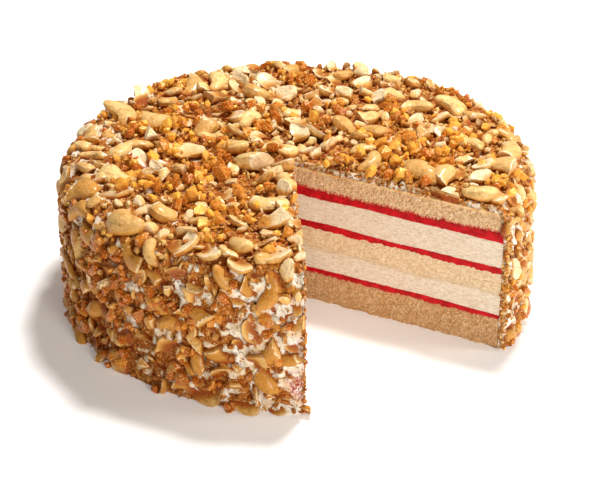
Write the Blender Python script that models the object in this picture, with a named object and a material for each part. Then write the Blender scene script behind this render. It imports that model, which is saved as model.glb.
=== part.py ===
"""A round ice cream cake with one slice taken out: sponge, jam and ice cream in layers, under whipped
cream that broken cashews are pressed into.

Lengths are in millimetres and become metres as each mesh is made. The origin is on the cake's axis at
its base, +Z is up, and the missing slice faces the front, -Y.
"""

import math
import random

import bmesh
import bpy
from mathutils import Matrix, Vector, noise

MM = 0.001

# The stack of layers inside the cream
FOOT_RADIUS = 95.0
SEAM_GAP = 0.3
LAYERS = (
    # name, height and radius of its upper side, unevenness, colour, roughness
    ("sponge_bottom", 14.0, 95.2, 0.5, (0.56, 0.33, 0.14), 0.9),
    ("jam_lower", 16.2, 95.3, 0.4, (0.48, 0.01, 0.02), 0.35),
    ("ice_cream_lower", 25.6, 95.5, 0.9, (0.87, 0.74, 0.52), 0.6),
    ("sponge_middle", 35.4, 95.7, 0.5, (0.72, 0.50, 0.24), 0.9),
    ("jam_middle", 38.2, 95.8, 0.5, (0.50, 0.01, 0.02), 0.35),
    ("ice_cream_upper", 50.2, 95.8, 0.6, (0.89, 0.77, 0.56), 0.6),
    ("jam_upper", 53.4, 95.8, 0.5, (0.50, 0.01, 0.02), 0.35),
    ("sponge_top", 61.8, 94.0, 0.2, (0.66, 0.44, 0.22), 0.9),
    ("caramel", 62.7, 93.7, 0.0, (0.62, 0.30, 0.06), 0.3),
)
COAT_COLOUR = (0.68, 0.40, 0.14)

# The cut: both faces meet on an upright line near the axis
APEX = (-2.7, -2.1)
RIGHT_CUT = math.radians(-27.8)
LEFT_CUT = math.radians(273.3)
CUT_REACH = 160.0

# The whipped cream over the layers
CREAM_TOP = 65.4
CREAM_RADIUS = 97.6
CREAM_FOOT_RADIUS = 96.9
SHOULDER = 8.0
CREAM_WAVE = 0.35
CREAM_WAVE_LENGTH = 34.0
BELOW_FLOOR = 6.0

# How finely layers and cream are made
SPOKES = 36
GAP_SPOKES = 7
CUT_STOPS = 6
RIM_POINTS = 40
TOP_RINGS = (0.34, 0.70, 1.0)
TOP_RING_POINTS = (10, 20, 40)
SHOULDER_STOPS = (0.33, 0.67, 1.0)
SIDE_STOPS = (0.45,)

# The cashew pieces: first those that stand out, from the front rim round to the right
SEED = 41
MARKED_PIECES = (
    # azimuth in degrees, distance over the cream from its middle, length, turn in degrees, kind
    (-91, 126, 10, -80, "split"),
    (-92, 107, 10, -25, "chunk"),
    (-96, 112, 14, -50, "split"),
    (-97, 143, 15, -60, "curved"),
    (-95, 87, 16, 65, "split"),
    (-98, 71, 12, 35, "chunk"),
    (-104, 147, 10, 10, "chunk"),
    (-105, 83, 14, -50, "curved"),
    (-108, 133, 16, -50, "curved"),
    (-112, 118, 16, -20, "curved"),
    (-112, 91, 14, -40, "split"),
    (-112, 150, 21, -15, "split"),
    (-120, 90, 15, 60, "split"),
    (-120, 147, 13, 65, "chunk"),
    (-128, 48, 11, 90, "split"),
    (-131, 101, 13, -25, "curved"),
    (-135, 75, 17, 15, "curved"),
    (-137, 91, 21, -20, "curved"),
    (-149, 43, 13, -80, "split"),
    (-155, 20, 19, 25, "curved"),
    (-158, 112, 19, 65, "curved"),
    (-164, 76, 16, 40, "curved"),
    (-173, 64, 15, 35, "split"),
    (155, 12, 14, -50, "curved"),
    (152, 69, 18, 90, "curved"),
    (97, 57, 15, -15, "split"),
    (89, 28, 16, 25, "split"),
    (59, 64, 15, -25, "split"),
    (42, 66, 19, 60, "curved"),
    (34, 81, 16, 0, "curved"),
    (34, 38, 15, 5, "curved"),
    (6, 73, 16, 45, "curved"),
    (-10, 88, 17, 55, "curved"),
    (-16, 31, 15, -15, "curved"),
    (-20, 17, 11, -70, "chunk"),
    (-22, 54, 17, 75, "curved"),
    (-26, 83, 15, -55, "curved"),
    (-35, 69, 18, -25, "split"),
)
PIECE_BANDS = (
    # shortest, longest, how many: largest first
    (14.0, 18.0, 58),
    (11.0, 14.0, 70),
    (9.0, 11.0, 34),
)
KIND_SHARES = {"curved": 0.34, "split": 0.36, "chunk": 0.30}
PIECE_SPACING = 0.44
SIDE_SHARE = 0.66
EDGE_KEEP = 0.30
FLOOR_KEEP = 2.5
TILT = 26.0
TOP_LIFT = 0.50
SIDE_LIFT = 0.10
WIDEST = 101.5
TRIES = 4000


def clear_scene():
    for thing in list(bpy.data.objects):
        bpy.data.objects.remove(thing, do_unlink=True)


def material(name, colour, roughness):
    made = bpy.data.materials.new(name)
    made.use_nodes = True
    shader = made.node_tree.nodes["Principled BSDF"]
    shader.inputs["Base Color"].default_value = (*colour, 1.0)
    shader.inputs["Roughness"].default_value = roughness
    shader.inputs["Metallic"].default_value = 0.0
    return made


def solid(name, points, faces):
    """A mesh object from points in millimetres, with its faces turned outwards."""
    mesh = bpy.data.meshes.new(name)
    mesh.from_pydata([Vector(point) * MM for point in points], [], faces)
    bm = bmesh.new()
    bm.from_mesh(mesh)
    bmesh.ops.recalc_face_normals(bm, faces=bm.faces)
    bm.to_mesh(mesh)
    bm.free()
    made = bpy.data.objects.new(name, mesh)
    bpy.context.scene.collection.objects.link(made)
    return made


def seam_height(number, x, y):
    """Height of the seam on top of a layer, or of the flat base for number -1."""
    if number < 0:
        return 0.0
    height, unevenness = LAYERS[number][1], LAYERS[number][3]
    turn = 1.9 * number
    swell = math.sin(x / 15.0 + turn) * math.cos(y / 19.0 - 0.7 * turn)
    ripple = math.sin((x - 0.6 * y) / 8.0 + 2.3 * turn)
    return height + unevenness * (0.7 * swell + 0.3 * ripple)


def rim_point(angle, radius):
    """Where a line from the apex at this angle crosses the circle of this radius about the axis."""
    across, along = math.cos(angle), math.sin(angle)
    lean = APEX[0] * across + APEX[1] * along
    reach = math.sqrt(lean ** 2 + radius ** 2 - APEX[0] ** 2 - APEX[1] ** 2) - lean
    return APEX[0] + reach * across, APEX[1] + reach * along


def outline(radius):
    """Apex, right cut out to the rim, round the rim to the left cut, and back almost to the apex."""
    sweep = LEFT_CUT - RIGHT_CUT
    rim = [rim_point(RIGHT_CUT + sweep * number / SPOKES, radius) for number in range(SPOKES + 1)]

    def stops(end):
        shares = [number / CUT_STOPS for number in range(1, CUT_STOPS)]
        return [tuple(Vector(APEX).lerp(Vector(end), share)) for share in shares]

    return [APEX, *stops(rim[0]), *rim, *reversed(stops(rim[-1]))]


def outline_triangles():
    """The triangles that fill an outline: a fan from the apex, with its two cut edges in short steps."""
    first = CUT_STOPS + 1
    last = CUT_STOPS + SPOKES - 1
    count = 2 * CUT_STOPS + SPOKES
    triangles = [(first, number, number + 1) for number in range(CUT_STOPS)]
    triangles += [(0, number, number + 1) for number in range(first, last)]
    triangles += [(last, number, (number + 1) % count) for number in range(last + 1, count)]
    return triangles


def layer(number):
    """One layer, from the seam below it to its own upper seam, with the slice missing."""
    name, _, radius, _, colour, roughness = LAYERS[number]
    foot_radius = LAYERS[number - 1][2] if number else FOOT_RADIUS
    lift = SEAM_GAP if number else 0.0
    below = [(x, y, seam_height(number - 1, x, y) + lift) for x, y in outline(foot_radius)]
    above = [(x, y, seam_height(number, x, y)) for x, y in outline(radius)]
    count = len(below)
    faces = []
    for triangle in outline_triangles():
        faces.append(triangle)
        faces.append(tuple(count + corner for corner in triangle))
    for here in range(count):
        there = (here + 1) % count
        faces.append((here, there, count + there))
        faces.append((here, count + there, count + here))
    made = solid(name, below + above, faces)
    made.data.materials.append(material(name, colour, roughness))
    return made


def core_cutter():
    """The room that the layers fill, with the gap that cream and layers keep."""
    sweep = LEFT_CUT - RIGHT_CUT
    angles = [RIGHT_CUT + sweep * number / SPOKES for number in range(SPOKES + 1)]
    angles += [LEFT_CUT + (math.tau - sweep) * number / GAP_SPOKES for number in range(1, GAP_SPOKES)]
    levels = [(-2.0 * BELOW_FLOOR, FOOT_RADIUS), (0.0, FOOT_RADIUS)]
    levels += [(LAYERS[number][1], LAYERS[number][2]) for number in (-3, -2)]
    levels.append((LAYERS[-1][1] + SEAM_GAP, LAYERS[-1][2]))
    points = []
    for height, radius in levels:
        points += [(*rim_point(angle, radius + SEAM_GAP), height) for angle in angles]
    count = len(angles)
    faces = [tuple(range(count)), tuple(range(len(points) - count, len(points)))]
    for level in range(len(levels) - 1):
        for number in range(count):
            here = level * count + number
            there = level * count + (number + 1) % count
            faces.append((here, there, there + count, here + count))
    return solid("core_cutter", points, faces)


def slice_cutter():
    """A wedge that stands on the apex line and reaches out past the cake between the two cut faces."""
    corners = [APEX]
    for angle in (LEFT_CUT, RIGHT_CUT + math.tau):
        corners.append((APEX[0] + CUT_REACH * math.cos(angle), APEX[1] + CUT_REACH * math.sin(angle)))
    points = [(*corner, height) for height in (-CUT_REACH, CUT_REACH) for corner in corners]
    faces = [(0, 1, 2), (3, 4, 5), (0, 1, 4, 3), (1, 2, 5, 4), (2, 0, 3, 5)]
    return solid("slice_cutter", points, faces)


def floor_cutter():
    """A block below the surface that the cake stands on."""
    reach = CUT_REACH
    points = [(x, y, z) for z in (-reach, 0.0) for x, y in
              ((-reach, -reach), (reach, -reach), (reach, reach), (-reach, reach))]
    faces = [(0, 1, 2, 3), (4, 5, 6, 7), (0, 1, 5, 4), (1, 2, 6, 5), (2, 3, 7, 6), (3, 0, 4, 7)]
    return solid("floor_cutter", points, faces)


def cream_spans():
    """How far the cream runs flat from the middle, then over its shoulder, then down the side."""
    return CREAM_RADIUS - SHOULDER, SHOULDER * math.pi / 2, CREAM_TOP - SHOULDER


def cream_surface(azimuth, along):
    """A place on the cream and its outward direction, this far from its middle over top and side."""
    flat, bend, side = cream_spans()
    if along < flat:
        radius, height, rise = along, CREAM_TOP, math.pi / 2
    elif along < flat + bend:
        rise = math.pi / 2 - (along - flat) / SHOULDER
        radius = flat + SHOULDER * math.cos(rise)
        height = CREAM_TOP - SHOULDER + SHOULDER * math.sin(rise)
    else:
        rise = 0.0
        height = CREAM_TOP - SHOULDER - (along - flat - bend)
        lean = (CREAM_RADIUS - CREAM_FOOT_RADIUS) / side
        radius = CREAM_RADIUS - lean * (along - flat - bend)
    outward = Vector((math.cos(azimuth) * math.cos(rise), math.sin(azimuth) * math.cos(rise), math.sin(rise)))
    place = Vector((radius * math.cos(azimuth), radius * math.sin(azimuth), height))
    lumps = noise.noise(place / CREAM_WAVE_LENGTH)
    return place + outward * CREAM_WAVE * lumps, outward


def cream_body():
    """The cream as a full block, before the layers' room and the slice are cut out of it.

    The top is rings with ever more points outwards, so that its triangles stay about as large as the side's.
    """
    flat, bend, side = cream_spans()
    rings = [(flat * share, points) for share, points in zip(TOP_RINGS, TOP_RING_POINTS)]
    rings += [(flat + bend * share, RIM_POINTS) for share in SHOULDER_STOPS]
    rings += [(flat + bend + side * share, RIM_POINTS) for share in SIDE_STOPS]
    rings.append((flat + bend + side + BELOW_FLOOR, RIM_POINTS))
    points = [tuple(cream_surface(0.0, 0.0)[0])]
    starts = []
    for along, count in rings:
        starts.append(len(points))
        for number in range(count):
            place, _ = cream_surface(math.tau * number / count, along)
            points.append(tuple(place))
    faces = [(0, 1 + number, 1 + (number + 1) % rings[0][1]) for number in range(rings[0][1])]
    for inner, outer in zip(range(len(rings)), range(1, len(rings))):
        few, many = rings[inner][1], rings[outer][1]
        for number in range(few):
            near = starts[inner] + number
            near_next = starts[inner] + (number + 1) % few
            if few == many:
                far = starts[outer] + number
                far_next = starts[outer] + (number + 1) % many
                faces += [(near, far, far_next), (near, far_next, near_next)]
                continue
            far, middle, far_next = (starts[outer] + (2 * number + step) % many for step in range(3))
            faces += [(near, far, middle), (near, middle, near_next), (near_next, middle, far_next)]
    faces.append(tuple(range(starts[-1], len(points))))
    return solid("nut_coat", points, faces)


def gap_distance(place):
    """How far a place is from the missing slice, below zero inside it."""
    x, y = place[0] - APEX[0], place[1] - APEX[1]
    from_right = math.cos(RIGHT_CUT) * y - math.sin(RIGHT_CUT) * x
    from_left = math.sin(LEFT_CUT) * x - math.cos(LEFT_CUT) * y
    return max(from_right, from_left)


def choose_pieces():
    """Places and sizes of the cashew pieces: the marked ones, then by size, spread evenly over the cream."""
    draw = random.Random(SEED)
    pieces = []

    def add(azimuth, along, length, turn, kind):
        place, outward = cream_surface(azimuth, along)
        pieces.append({
            "place": place,
            "outward": outward,
            "azimuth": azimuth,
            "length": length,
            "turn": turn,
            "kind": kind,
            "tilt": math.radians(draw.uniform(-TILT, TILT)),
            "roll": math.radians(draw.uniform(-TILT, TILT)),
            "seed": draw.randrange(10000),
        })

    for azimuth, along, length, turn, kind in MARKED_PIECES:
        add(math.radians(azimuth), along, length, math.radians(turn), kind)
    for shortest, longest, wanted in PIECE_BANDS:
        wanted += len(pieces)
        for _ in range(TRIES):
            if len(pieces) == wanted:
                break
            along = draw.uniform(0.0, sum(cream_spans()))
            azimuth = draw.uniform(RIGHT_CUT, LEFT_CUT)
            length = draw.uniform(shortest, longest)
            place, outward = cream_surface(azimuth, along)
            if draw.random() > math.hypot(place.x, place.y) / CREAM_RADIUS:
                continue
            if outward.z < 0.3 and draw.random() > SIDE_SHARE:
                continue
            if gap_distance(place) < EDGE_KEEP * length or place.z < FLOOR_KEEP:
                continue
            if any((place - other["place"]).length < PIECE_SPACING * (length + other["length"])
                   for other in pieces):
                continue
            kind = draw.choices(list(KIND_SHARES), list(KIND_SHARES.values()))[0]
            add(azimuth, along, length, draw.uniform(0.0, math.tau), kind)
    return pieces


def ring_shape(stations, section):
    """Points and faces of a body that a section of equal count is drawn through, closed at both tips."""
    points = [stations[0]]
    for station in stations[1:-1]:
        points += section(station)
    points.append(stations[-1])
    count = (len(points) - 2) // (len(stations) - 2)
    last = len(points) - 1
    faces = []
    for side in range(count):
        after = (side + 1) % count
        faces.append((0, 1 + side, 1 + after))
        for ring in range(len(stations) - 3):
            here = 1 + ring * count
            there = here + count
            faces.append((here + side, here + after, there + after, there + side))
        end = 1 + (len(stations) - 3) * count
        faces.append((last, end + after, end + side))
    return points, faces


def nut_points(piece):
    """A cashew piece about its own middle, with its length along X and its broad side facing Z."""
    draw = random.Random(piece["seed"])
    half = piece["length"] / 2
    wide = half * draw.uniform(0.48, 0.62)
    thick = half * draw.uniform(0.36, 0.46)
    bend = half * draw.uniform(0.50, 0.85)
    if piece["kind"] == "chunk":
        half *= 0.86
        wide = half * draw.uniform(0.62, 0.82)
        thick = half * draw.uniform(0.40, 0.54)
        bend = 0.0
    flat_face = piece["kind"] == "split"
    tips = 0.93 if piece["kind"] == "chunk" else 1.0
    level = 0.35 * thick if flat_face else 0.0

    def section(station):
        x, y, z, share = station
        ring = []
        if flat_face:
            corners = ((-1.0, 0.35), (1.0, 0.35), (0.72, -0.60), (0.0, -1.0), (-0.72, -0.60))
            for across, up in corners:
                height = level if up > 0 else up * thick * share
                ring.append((x, y + across * wide * share, height))
            return ring
        for side in range(5):
            angle = math.tau * (side + 0.5 * draw.random()) / 5
            ring.append((x, y + math.cos(angle) * wide * share, z + math.sin(angle) * thick * share))
        return ring

    widths = (0.80, 1.0, 0.72) if piece["kind"] != "chunk" else (0.95, 1.0)
    spread = (-0.58, 0.04, 0.62) if piece["kind"] != "chunk" else (-0.66, 0.60)
    stations = [(-half * tips, 0.5 * bend, level)]
    for across, share in zip(spread, widths):
        stations.append((across * half, bend * (across ** 2 - 0.5), 0.0, share * draw.uniform(0.9, 1.08)))
    stations.append((half * tips, 0.5 * bend, level))
    points, faces = ring_shape(stations, section)
    return points, faces, thick


def cashew(piece, number):
    """A cashew piece pressed into the cream where it belongs, farther in if it would stand out too far."""
    points, faces, thick = nut_points(piece)
    outward = piece["outward"]
    round_rim = Vector((-math.sin(piece["azimuth"]), math.cos(piece["azimuth"]), 0.0))
    frame = Matrix((round_rim, outward.cross(round_rim), outward)).transposed().to_4x4()
    lean = Matrix.Rotation(piece["turn"], 4, "Z") @ Matrix.Rotation(piece["tilt"], 4, "Y")
    lean = lean @ Matrix.Rotation(piece["roll"], 4, "X")
    lift = SIDE_LIFT + (TOP_LIFT - SIDE_LIFT) * outward.z
    place = Matrix.Translation(piece["place"] + outward * lift * thick) @ frame @ lean
    points = [place @ Vector(point) for point in points]
    over = max(0.0, max(math.hypot(point.x, point.y) for point in points) - WIDEST)
    inward = Vector((math.cos(piece["azimuth"]), math.sin(piece["azimuth"]), 0.0)) * -over
    return solid(f"cashew_{number}", [point + inward for point in points], faces)


def apply_boolean(target, operation, cutter=None, group=None):
    """Join or cut for good, then take away what it was done with."""
    step = target.modifiers.new(operation.lower(), "BOOLEAN")
    step.operation = operation
    step.solver = "EXACT"
    if group:
        step.operand_type = "COLLECTION"
        step.collection = group
        used = list(group.objects)
    else:
        step.object = cutter
        used = [cutter]
    evaluated = target.evaluated_get(bpy.context.evaluated_depsgraph_get())
    result = bpy.data.meshes.new_from_object(evaluated)
    target.modifiers.clear()
    target.data = result
    for thing in used:
        bpy.data.objects.remove(thing, do_unlink=True)


def keep_main_body(target):
    """Keep the largest outward body: loose scraps and sealed hollows go."""
    bm = bmesh.new()
    bm.from_mesh(target.data)
    bmesh.ops.triangulate(bm, faces=bm.faces)
    unseen = set(bm.faces)
    bodies = []
    while unseen:
        body = {unseen.pop()}
        front = list(body)
        while front:
            face = front.pop()
            for edge in face.edges:
                for near in edge.link_faces:
                    if near in unseen:
                        unseen.discard(near)
                        body.add(near)
                        front.append(near)
        bodies.append(body)

    def volume(body):
        return sum(face.verts[0].co.dot(face.verts[1].co.cross(face.verts[2].co)) for face in body)

    bodies.sort(key=volume)
    for body in bodies[:-1]:
        bmesh.ops.delete(bm, geom=list(body), context="FACES")
    bm.to_mesh(target.data)
    bm.free()


def nut_coat():
    """The cream with its cashew pieces, as one solid that sits over the layers."""
    coat = cream_body()
    group = bpy.data.collections.new("cashews")
    bpy.context.scene.collection.children.link(group)
    for number, piece in enumerate(choose_pieces()):
        nut = cashew(piece, number)
        bpy.context.scene.collection.objects.unlink(nut)
        group.objects.link(nut)
    apply_boolean(coat, "UNION", group=group)
    bpy.data.collections.remove(group)
    for cutter in (core_cutter(), slice_cutter(), floor_cutter()):
        apply_boolean(coat, "DIFFERENCE", cutter=cutter)
    keep_main_body(coat)
    coat.data.materials.clear()
    coat.data.materials.append(material("nut_coat", COAT_COLOUR, 0.45))
    return coat


def main():
    clear_scene()
    for number in range(len(LAYERS)):
        layer(number)
    nut_coat()


main()
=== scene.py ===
"""The looks of a round ice cream cake with one slice taken out, around its solids.

Sizes are in millimetres and become metres as each mesh is made.
"""

import itertools
import math
import random

import bpy
import numpy as np
from mathutils import Matrix, Vector, noise


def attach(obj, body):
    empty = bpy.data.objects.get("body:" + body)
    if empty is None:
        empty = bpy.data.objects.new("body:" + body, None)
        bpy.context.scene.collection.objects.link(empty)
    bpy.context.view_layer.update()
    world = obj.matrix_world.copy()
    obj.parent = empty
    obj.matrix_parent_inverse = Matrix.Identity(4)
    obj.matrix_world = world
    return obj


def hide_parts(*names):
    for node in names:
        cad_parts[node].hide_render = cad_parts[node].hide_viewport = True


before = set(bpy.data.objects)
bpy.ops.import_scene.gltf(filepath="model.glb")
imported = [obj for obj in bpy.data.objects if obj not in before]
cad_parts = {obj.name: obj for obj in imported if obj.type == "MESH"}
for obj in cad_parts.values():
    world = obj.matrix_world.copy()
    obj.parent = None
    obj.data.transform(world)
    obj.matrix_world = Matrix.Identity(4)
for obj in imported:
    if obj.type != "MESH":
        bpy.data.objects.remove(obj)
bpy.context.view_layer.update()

MM = 0.001

# The stack of layers, as in the solids
FOOT_RADIUS = 95.0
LAYERS = (
    # name, height and radius of its upper side, unevenness
    ("sponge_bottom", 14.0, 95.2, 0.5),
    ("jam_lower", 16.2, 95.3, 0.4),
    ("ice_cream_lower", 25.6, 95.5, 0.9),
    ("sponge_middle", 35.4, 95.7, 0.5),
    ("jam_middle", 38.2, 95.8, 0.5),
    ("ice_cream_upper", 50.2, 95.8, 0.6),
    ("jam_upper", 53.4, 95.8, 0.5),
    ("sponge_top", 61.8, 94.0, 0.2),
    ("caramel", 62.7, 93.7, 0.0),
)
NAMES = [row[0] for row in LAYERS]

# The cut, as in the solids: its tip and two directions. The cake goes round from the first to the second
APEX = np.array((-2.7, -2.1))
RIGHT_CUT = math.radians(-27.8)
LEFT_CUT = math.radians(273.3)
CUTS = {"right": RIGHT_CUT, "left": LEFT_CUT}
GAP_MIDDLE = (RIGHT_CUT + LEFT_CUT - math.tau) / 2

# The whipped cream, as in the solids
CREAM_TOP = 65.4
CREAM_RADIUS = 97.6
CREAM_FOOT_RADIUS = 96.9
SHOULDER = 8.0
CREAM_WAVE = 0.35
CREAM_WAVE_LENGTH = 34.0

# The large cashew pieces, as in the solids
SEED = 41
MARKED_PIECES = (
    # azimuth in degrees, distance over the cream from its middle, length, turn in degrees, kind
    (-91, 126, 10, -80, "split"),
    (-92, 107, 10, -25, "chunk"),
    (-96, 112, 14, -50, "split"),
    (-97, 143, 15, -60, "curved"),
    (-95, 87, 16, 65, "split"),
    (-98, 71, 12, 35, "chunk"),
    (-104, 147, 10, 10, "chunk"),
    (-105, 83, 14, -50, "curved"),
    (-108, 133, 16, -50, "curved"),
    (-112, 118, 16, -20, "curved"),
    (-112, 91, 14, -40, "split"),
    (-112, 150, 21, -15, "split"),
    (-120, 90, 15, 60, "split"),
    (-120, 147, 13, 65, "chunk"),
    (-128, 48, 11, 90, "split"),
    (-131, 101, 13, -25, "curved"),
    (-135, 75, 17, 15, "curved"),
    (-137, 91, 21, -20, "curved"),
    (-149, 43, 13, -80, "split"),
    (-155, 20, 19, 25, "curved"),
    (-158, 112, 19, 65, "curved"),
    (-164, 76, 16, 40, "curved"),
    (-173, 64, 15, 35, "split"),
    (155, 12, 14, -50, "curved"),
    (152, 69, 18, 90, "curved"),
    (97, 57, 15, -15, "split"),
    (89, 28, 16, 25, "split"),
    (59, 64, 15, -25, "split"),
    (42, 66, 19, 60, "curved"),
    (34, 81, 16, 0, "curved"),
    (34, 38, 15, 5, "curved"),
    (6, 73, 16, 45, "curved"),
    (-10, 88, 17, 55, "curved"),
    (-16, 31, 15, -15, "curved"),
    (-20, 17, 11, -70, "chunk"),
    (-22, 54, 17, 75, "curved"),
    (-26, 83, 15, -55, "curved"),
    (-35, 69, 18, -25, "split"),
)
PIECE_BANDS = (
    (14.0, 18.0, 58),
    (11.0, 14.0, 70),
    (9.0, 11.0, 34),
)
KIND_SHARES = {"curved": 0.34, "split": 0.36, "chunk": 0.30}
PIECE_SPACING = 0.44
SIDE_SHARE = 0.66
EDGE_KEEP = 0.30
FLOOR_KEEP = 2.5
WALL_BELOW = 0.3
TILT = 26.0
TOP_LIFT = 0.50
SIDE_LIFT = 0.10
WIDEST = 101.5
TRIES = 4000

# What is only looks: smaller broken nuts, brittle and crumbs between the large pieces
SMALL_BANDS = (
    # shortest, longest, how many, spacing, lift as a share of thickness
    (12.0, 17.0, 130, 0.31, 0.9),
    (8.5, 12.0, 230, 0.28, 0.8),
    (6.0, 8.5, 260, 0.27, 0.6),
    (4.4, 6.0, 220, 0.26, 0.5),
)
SMALL_TILT = 42.0
SMALL_SIDE_SHARE = 0.75
SMALL_EDGE_KEEP = 0.06
TOP_ABOVE = 0.5
HEAP_SHARE = 0.6
HEAP_LONGEST = 6.0
MOST_SMEAR = 0.35
OVERHANG = 0.9
WALL_OVERHANG = 1.6
BIT_OVERHANG = 1.6
BEHIND_CUT = 1.3
# How far from the cream the painted shade deep among the pieces fades out
CLEAR_OF_CREAM = 3.0
HIGHEST = 74.0
STAND_TOP = 7.0
STAND_SIDE = 4.0
STAND_BAND = (60.0, 85.0)
FLOOR_SKIN = 0.15

# The bands over which a piece comes to lie on the wall, or among the layers
WALL_BAND = (CREAM_RADIUS - 5.0, CREAM_RADIUS - 1.0)
LAYER_SIDE_BAND = (96.0, 94.6)
LAYER_TOP_BAND = (63.4, 62.0)

# Where cream is bare: distances from the left cut, heights, and places across the cake
FRONT_BARE = (105.0, 25.0)
FRONT_HEIGHTS = (69.0, 60.0)
BARE_BY_CUT = (14.0, 3.0)
LEFT_BARE = (-58.0, -86.0)
LEFT_HEIGHTS = (48.0, 60.0)
RIGHT_BARE = (62.0, 88.0)
RIGHT_HEIGHTS = (66.0, 58.0)

# Clouds of noise, each wave with its height, size and seed: bare patches, heaps of brittle, and relief
BARE_WAVES = ((0.42, 7.0, 21), (0.42, 3.2, 22), (0.30, 1.6, 23))
AMBER_WAVES = ((0.6, 14.0, 31), (0.4, 6.0, 32))
GRIT_WAVES = ((0.50, 1.7, 43), (0.30, 0.9, 44))
SECTION_WAVES = ((0.45, 2.2, 51), (0.30, 1.0, 52))

# Where the camera stands: distance and height angle seen from the point it looks at
LOOK_AT = Vector((0.0012, 0.0, 0.0258))
CAMERA_DISTANCE = 1.0
CAMERA_RISE = math.radians(28.34)
FOCAL_PIXELS = 2330.0
IMAGE_WIDTH = 600
SENSOR_WIDTH = 36.0

# The studio, in metres and watts
FLOOR_REACH = 3.0
ROOM_TINT = (1.0, 0.84, 0.62, 1.0)
ROOM_LIGHT = 0.125
LIGHTS = (
    # name, power, width, place, what it faces, tint
    ("key", 11.2, 0.20, (0.14, 0.26, 0.92), (0.0, 0.0, 0.04), (1.0, 0.98, 0.96)),
    ("front", 4.8, 0.34, (0.32, -0.85, 0.30), (0.02, 0.0, 0.03), (1.0, 0.97, 0.91)),
    ("side", 3.1, 0.30, (0.85, -0.12, 0.34), (0.06, 0.0, 0.03), (1.0, 0.98, 0.94)),
)


def colour(red, green, blue):
    """A screen colour, 0 to 255, as the linear colour that shaders take."""
    linear = []
    for part in (red, green, blue):
        part /= 255.0
        linear.append(part / 12.92 if part <= 0.04045 else ((part + 0.055) / 1.055) ** 2.4)
    return (*linear, 1.0)


class Value:
    """A number that varies over a surface: Python's operators on it add Math nodes to its finish."""

    def __init__(self, finish, socket):
        self.finish = finish
        self.socket = socket

    def math(self, operation, *others, clamp=False):
        """The result of a Math node on this number and others."""
        settings = {"operation": operation, "use_clamp": clamp}
        return Value(self.finish, self.finish.node("ShaderNodeMath", settings, [self, *others]).outputs[0])

    def __add__(self, other):
        return self.math("ADD", other)

    __radd__ = __add__

    def __sub__(self, other):
        return self.math("SUBTRACT", other)

    def __rsub__(self, other):
        return self.math("MULTIPLY", -1.0).math("ADD", other)

    def __mul__(self, other):
        return self.math("MULTIPLY", other)

    __rmul__ = __mul__

    def both(self, other):
        """The greater of two masks."""
        return self.math("MAXIMUM", other)

    def clamp(self):
        """The number kept between 0 and 1."""
        return self.math("ADD", 0.0, clamp=True)

    def step(self, low, high):
        """0 below low, 1 above high and smooth between; falling where low is the greater."""
        inputs = {"Value": self, "From Min": low, "From Max": high}
        node = self.finish.node("ShaderNodeMapRange", {"interpolation_type": "SMOOTHSTEP"}, inputs)
        return Value(self.finish, node.outputs["Result"])


class Finish:
    """A material with one Principled shader, and the nodes that feed it."""

    def __init__(self, name, **constants):
        self.material = bpy.data.materials.new(name)
        self.material.use_nodes = True
        self.tree = self.material.node_tree
        self.shader = self.tree.nodes["Principled BSDF"]
        for socket, value in constants.items():
            self.shader.inputs[socket.replace("_", " ")].default_value = value
        inputs = {0: self.node("ShaderNodeTexCoord").outputs["Object"], "Scale": 1.0 / MM}
        self.place = self.node("ShaderNodeVectorMath", {"operation": "SCALE"}, inputs).outputs[0]

    def node(self, kind, settings=None, inputs=None):
        """A node of any type: its settings first, then the values or links of its sockets."""
        made = self.tree.nodes.new(kind)
        for name, value in (settings or {}).items():
            setattr(made, name, value)
        pairs = enumerate(inputs) if isinstance(inputs, list) else (inputs or {}).items()
        for key, value in pairs:
            self.feed(made.inputs[key], value)
        return made

    def feed(self, socket, value):
        """A link or a constant for one socket."""
        if isinstance(value, Value):
            value = value.socket
        if isinstance(value, bpy.types.NodeSocket):
            self.tree.links.new(value, socket)
        else:
            socket.default_value = value

    def stretched(self, x, y, z):
        """The place on the surface in millimetres, with each direction scaled."""
        node = self.node("ShaderNodeVectorMath", {"operation": "MULTIPLY"}, [self.place, (x, y, z)])
        return node.outputs[0]

    def grain(self, size, detail=3.0, roughness=0.55, place=None, warp=0.0):
        """Noise of this size in millimetres, 0 to 1."""
        inputs = {"Vector": place or self.place, "Scale": 1.0 / size, "Detail": detail}
        inputs |= {"Roughness": roughness, "Distortion": warp}
        return Value(self, self.node("ShaderNodeTexNoise", inputs=inputs).outputs["Fac"])

    def cells(self, size):
        """Distance from the middle of cells of this size in millimetres."""
        inputs = {"Vector": self.place, "Scale": 1.0 / size}
        return Value(self, self.node("ShaderNodeTexVoronoi", inputs=inputs).outputs["Distance"])

    def measure(self, name):
        """A number that the mesh holds at each point."""
        return Value(self, self.node("ShaderNodeAttribute", {"attribute_name": name}).outputs["Fac"])

    def mix(self, share, first, second):
        """Two colours mixed by a share."""
        share_socket, first_socket, second_socket, mixed = 0, 6, 7, 2
        inputs = {share_socket: share, first_socket: first, second_socket: second}
        return self.node("ShaderNodeMix", {"data_type": "RGBA"}, inputs).outputs[mixed]

    def paint(self, share, tint):
        """A colour laid over what is painted so far, by a share."""
        self.base = self.mix(share, self.base, tint)

    def bump(self, height, depth):
        """A surface relief of this depth in millimetres where height goes from 0 to 1."""
        inputs = {"Height": height, "Strength": 1.0, "Distance": depth * MM}
        return self.node("ShaderNodeBump", inputs=inputs).outputs["Normal"]

    def surface(self, **sockets):
        """The finished material: what is painted, and these values or links in its shader."""
        for name, value in {"Base_Color": self.base, **sockets}.items():
            self.feed(self.shader.inputs[name.replace("_", " ")], value)
        return self.material


# The tint of reflections on nuts and caramel
GOLDEN_SHEEN = (1.0, 0.82, 0.48, 1.0)


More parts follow.
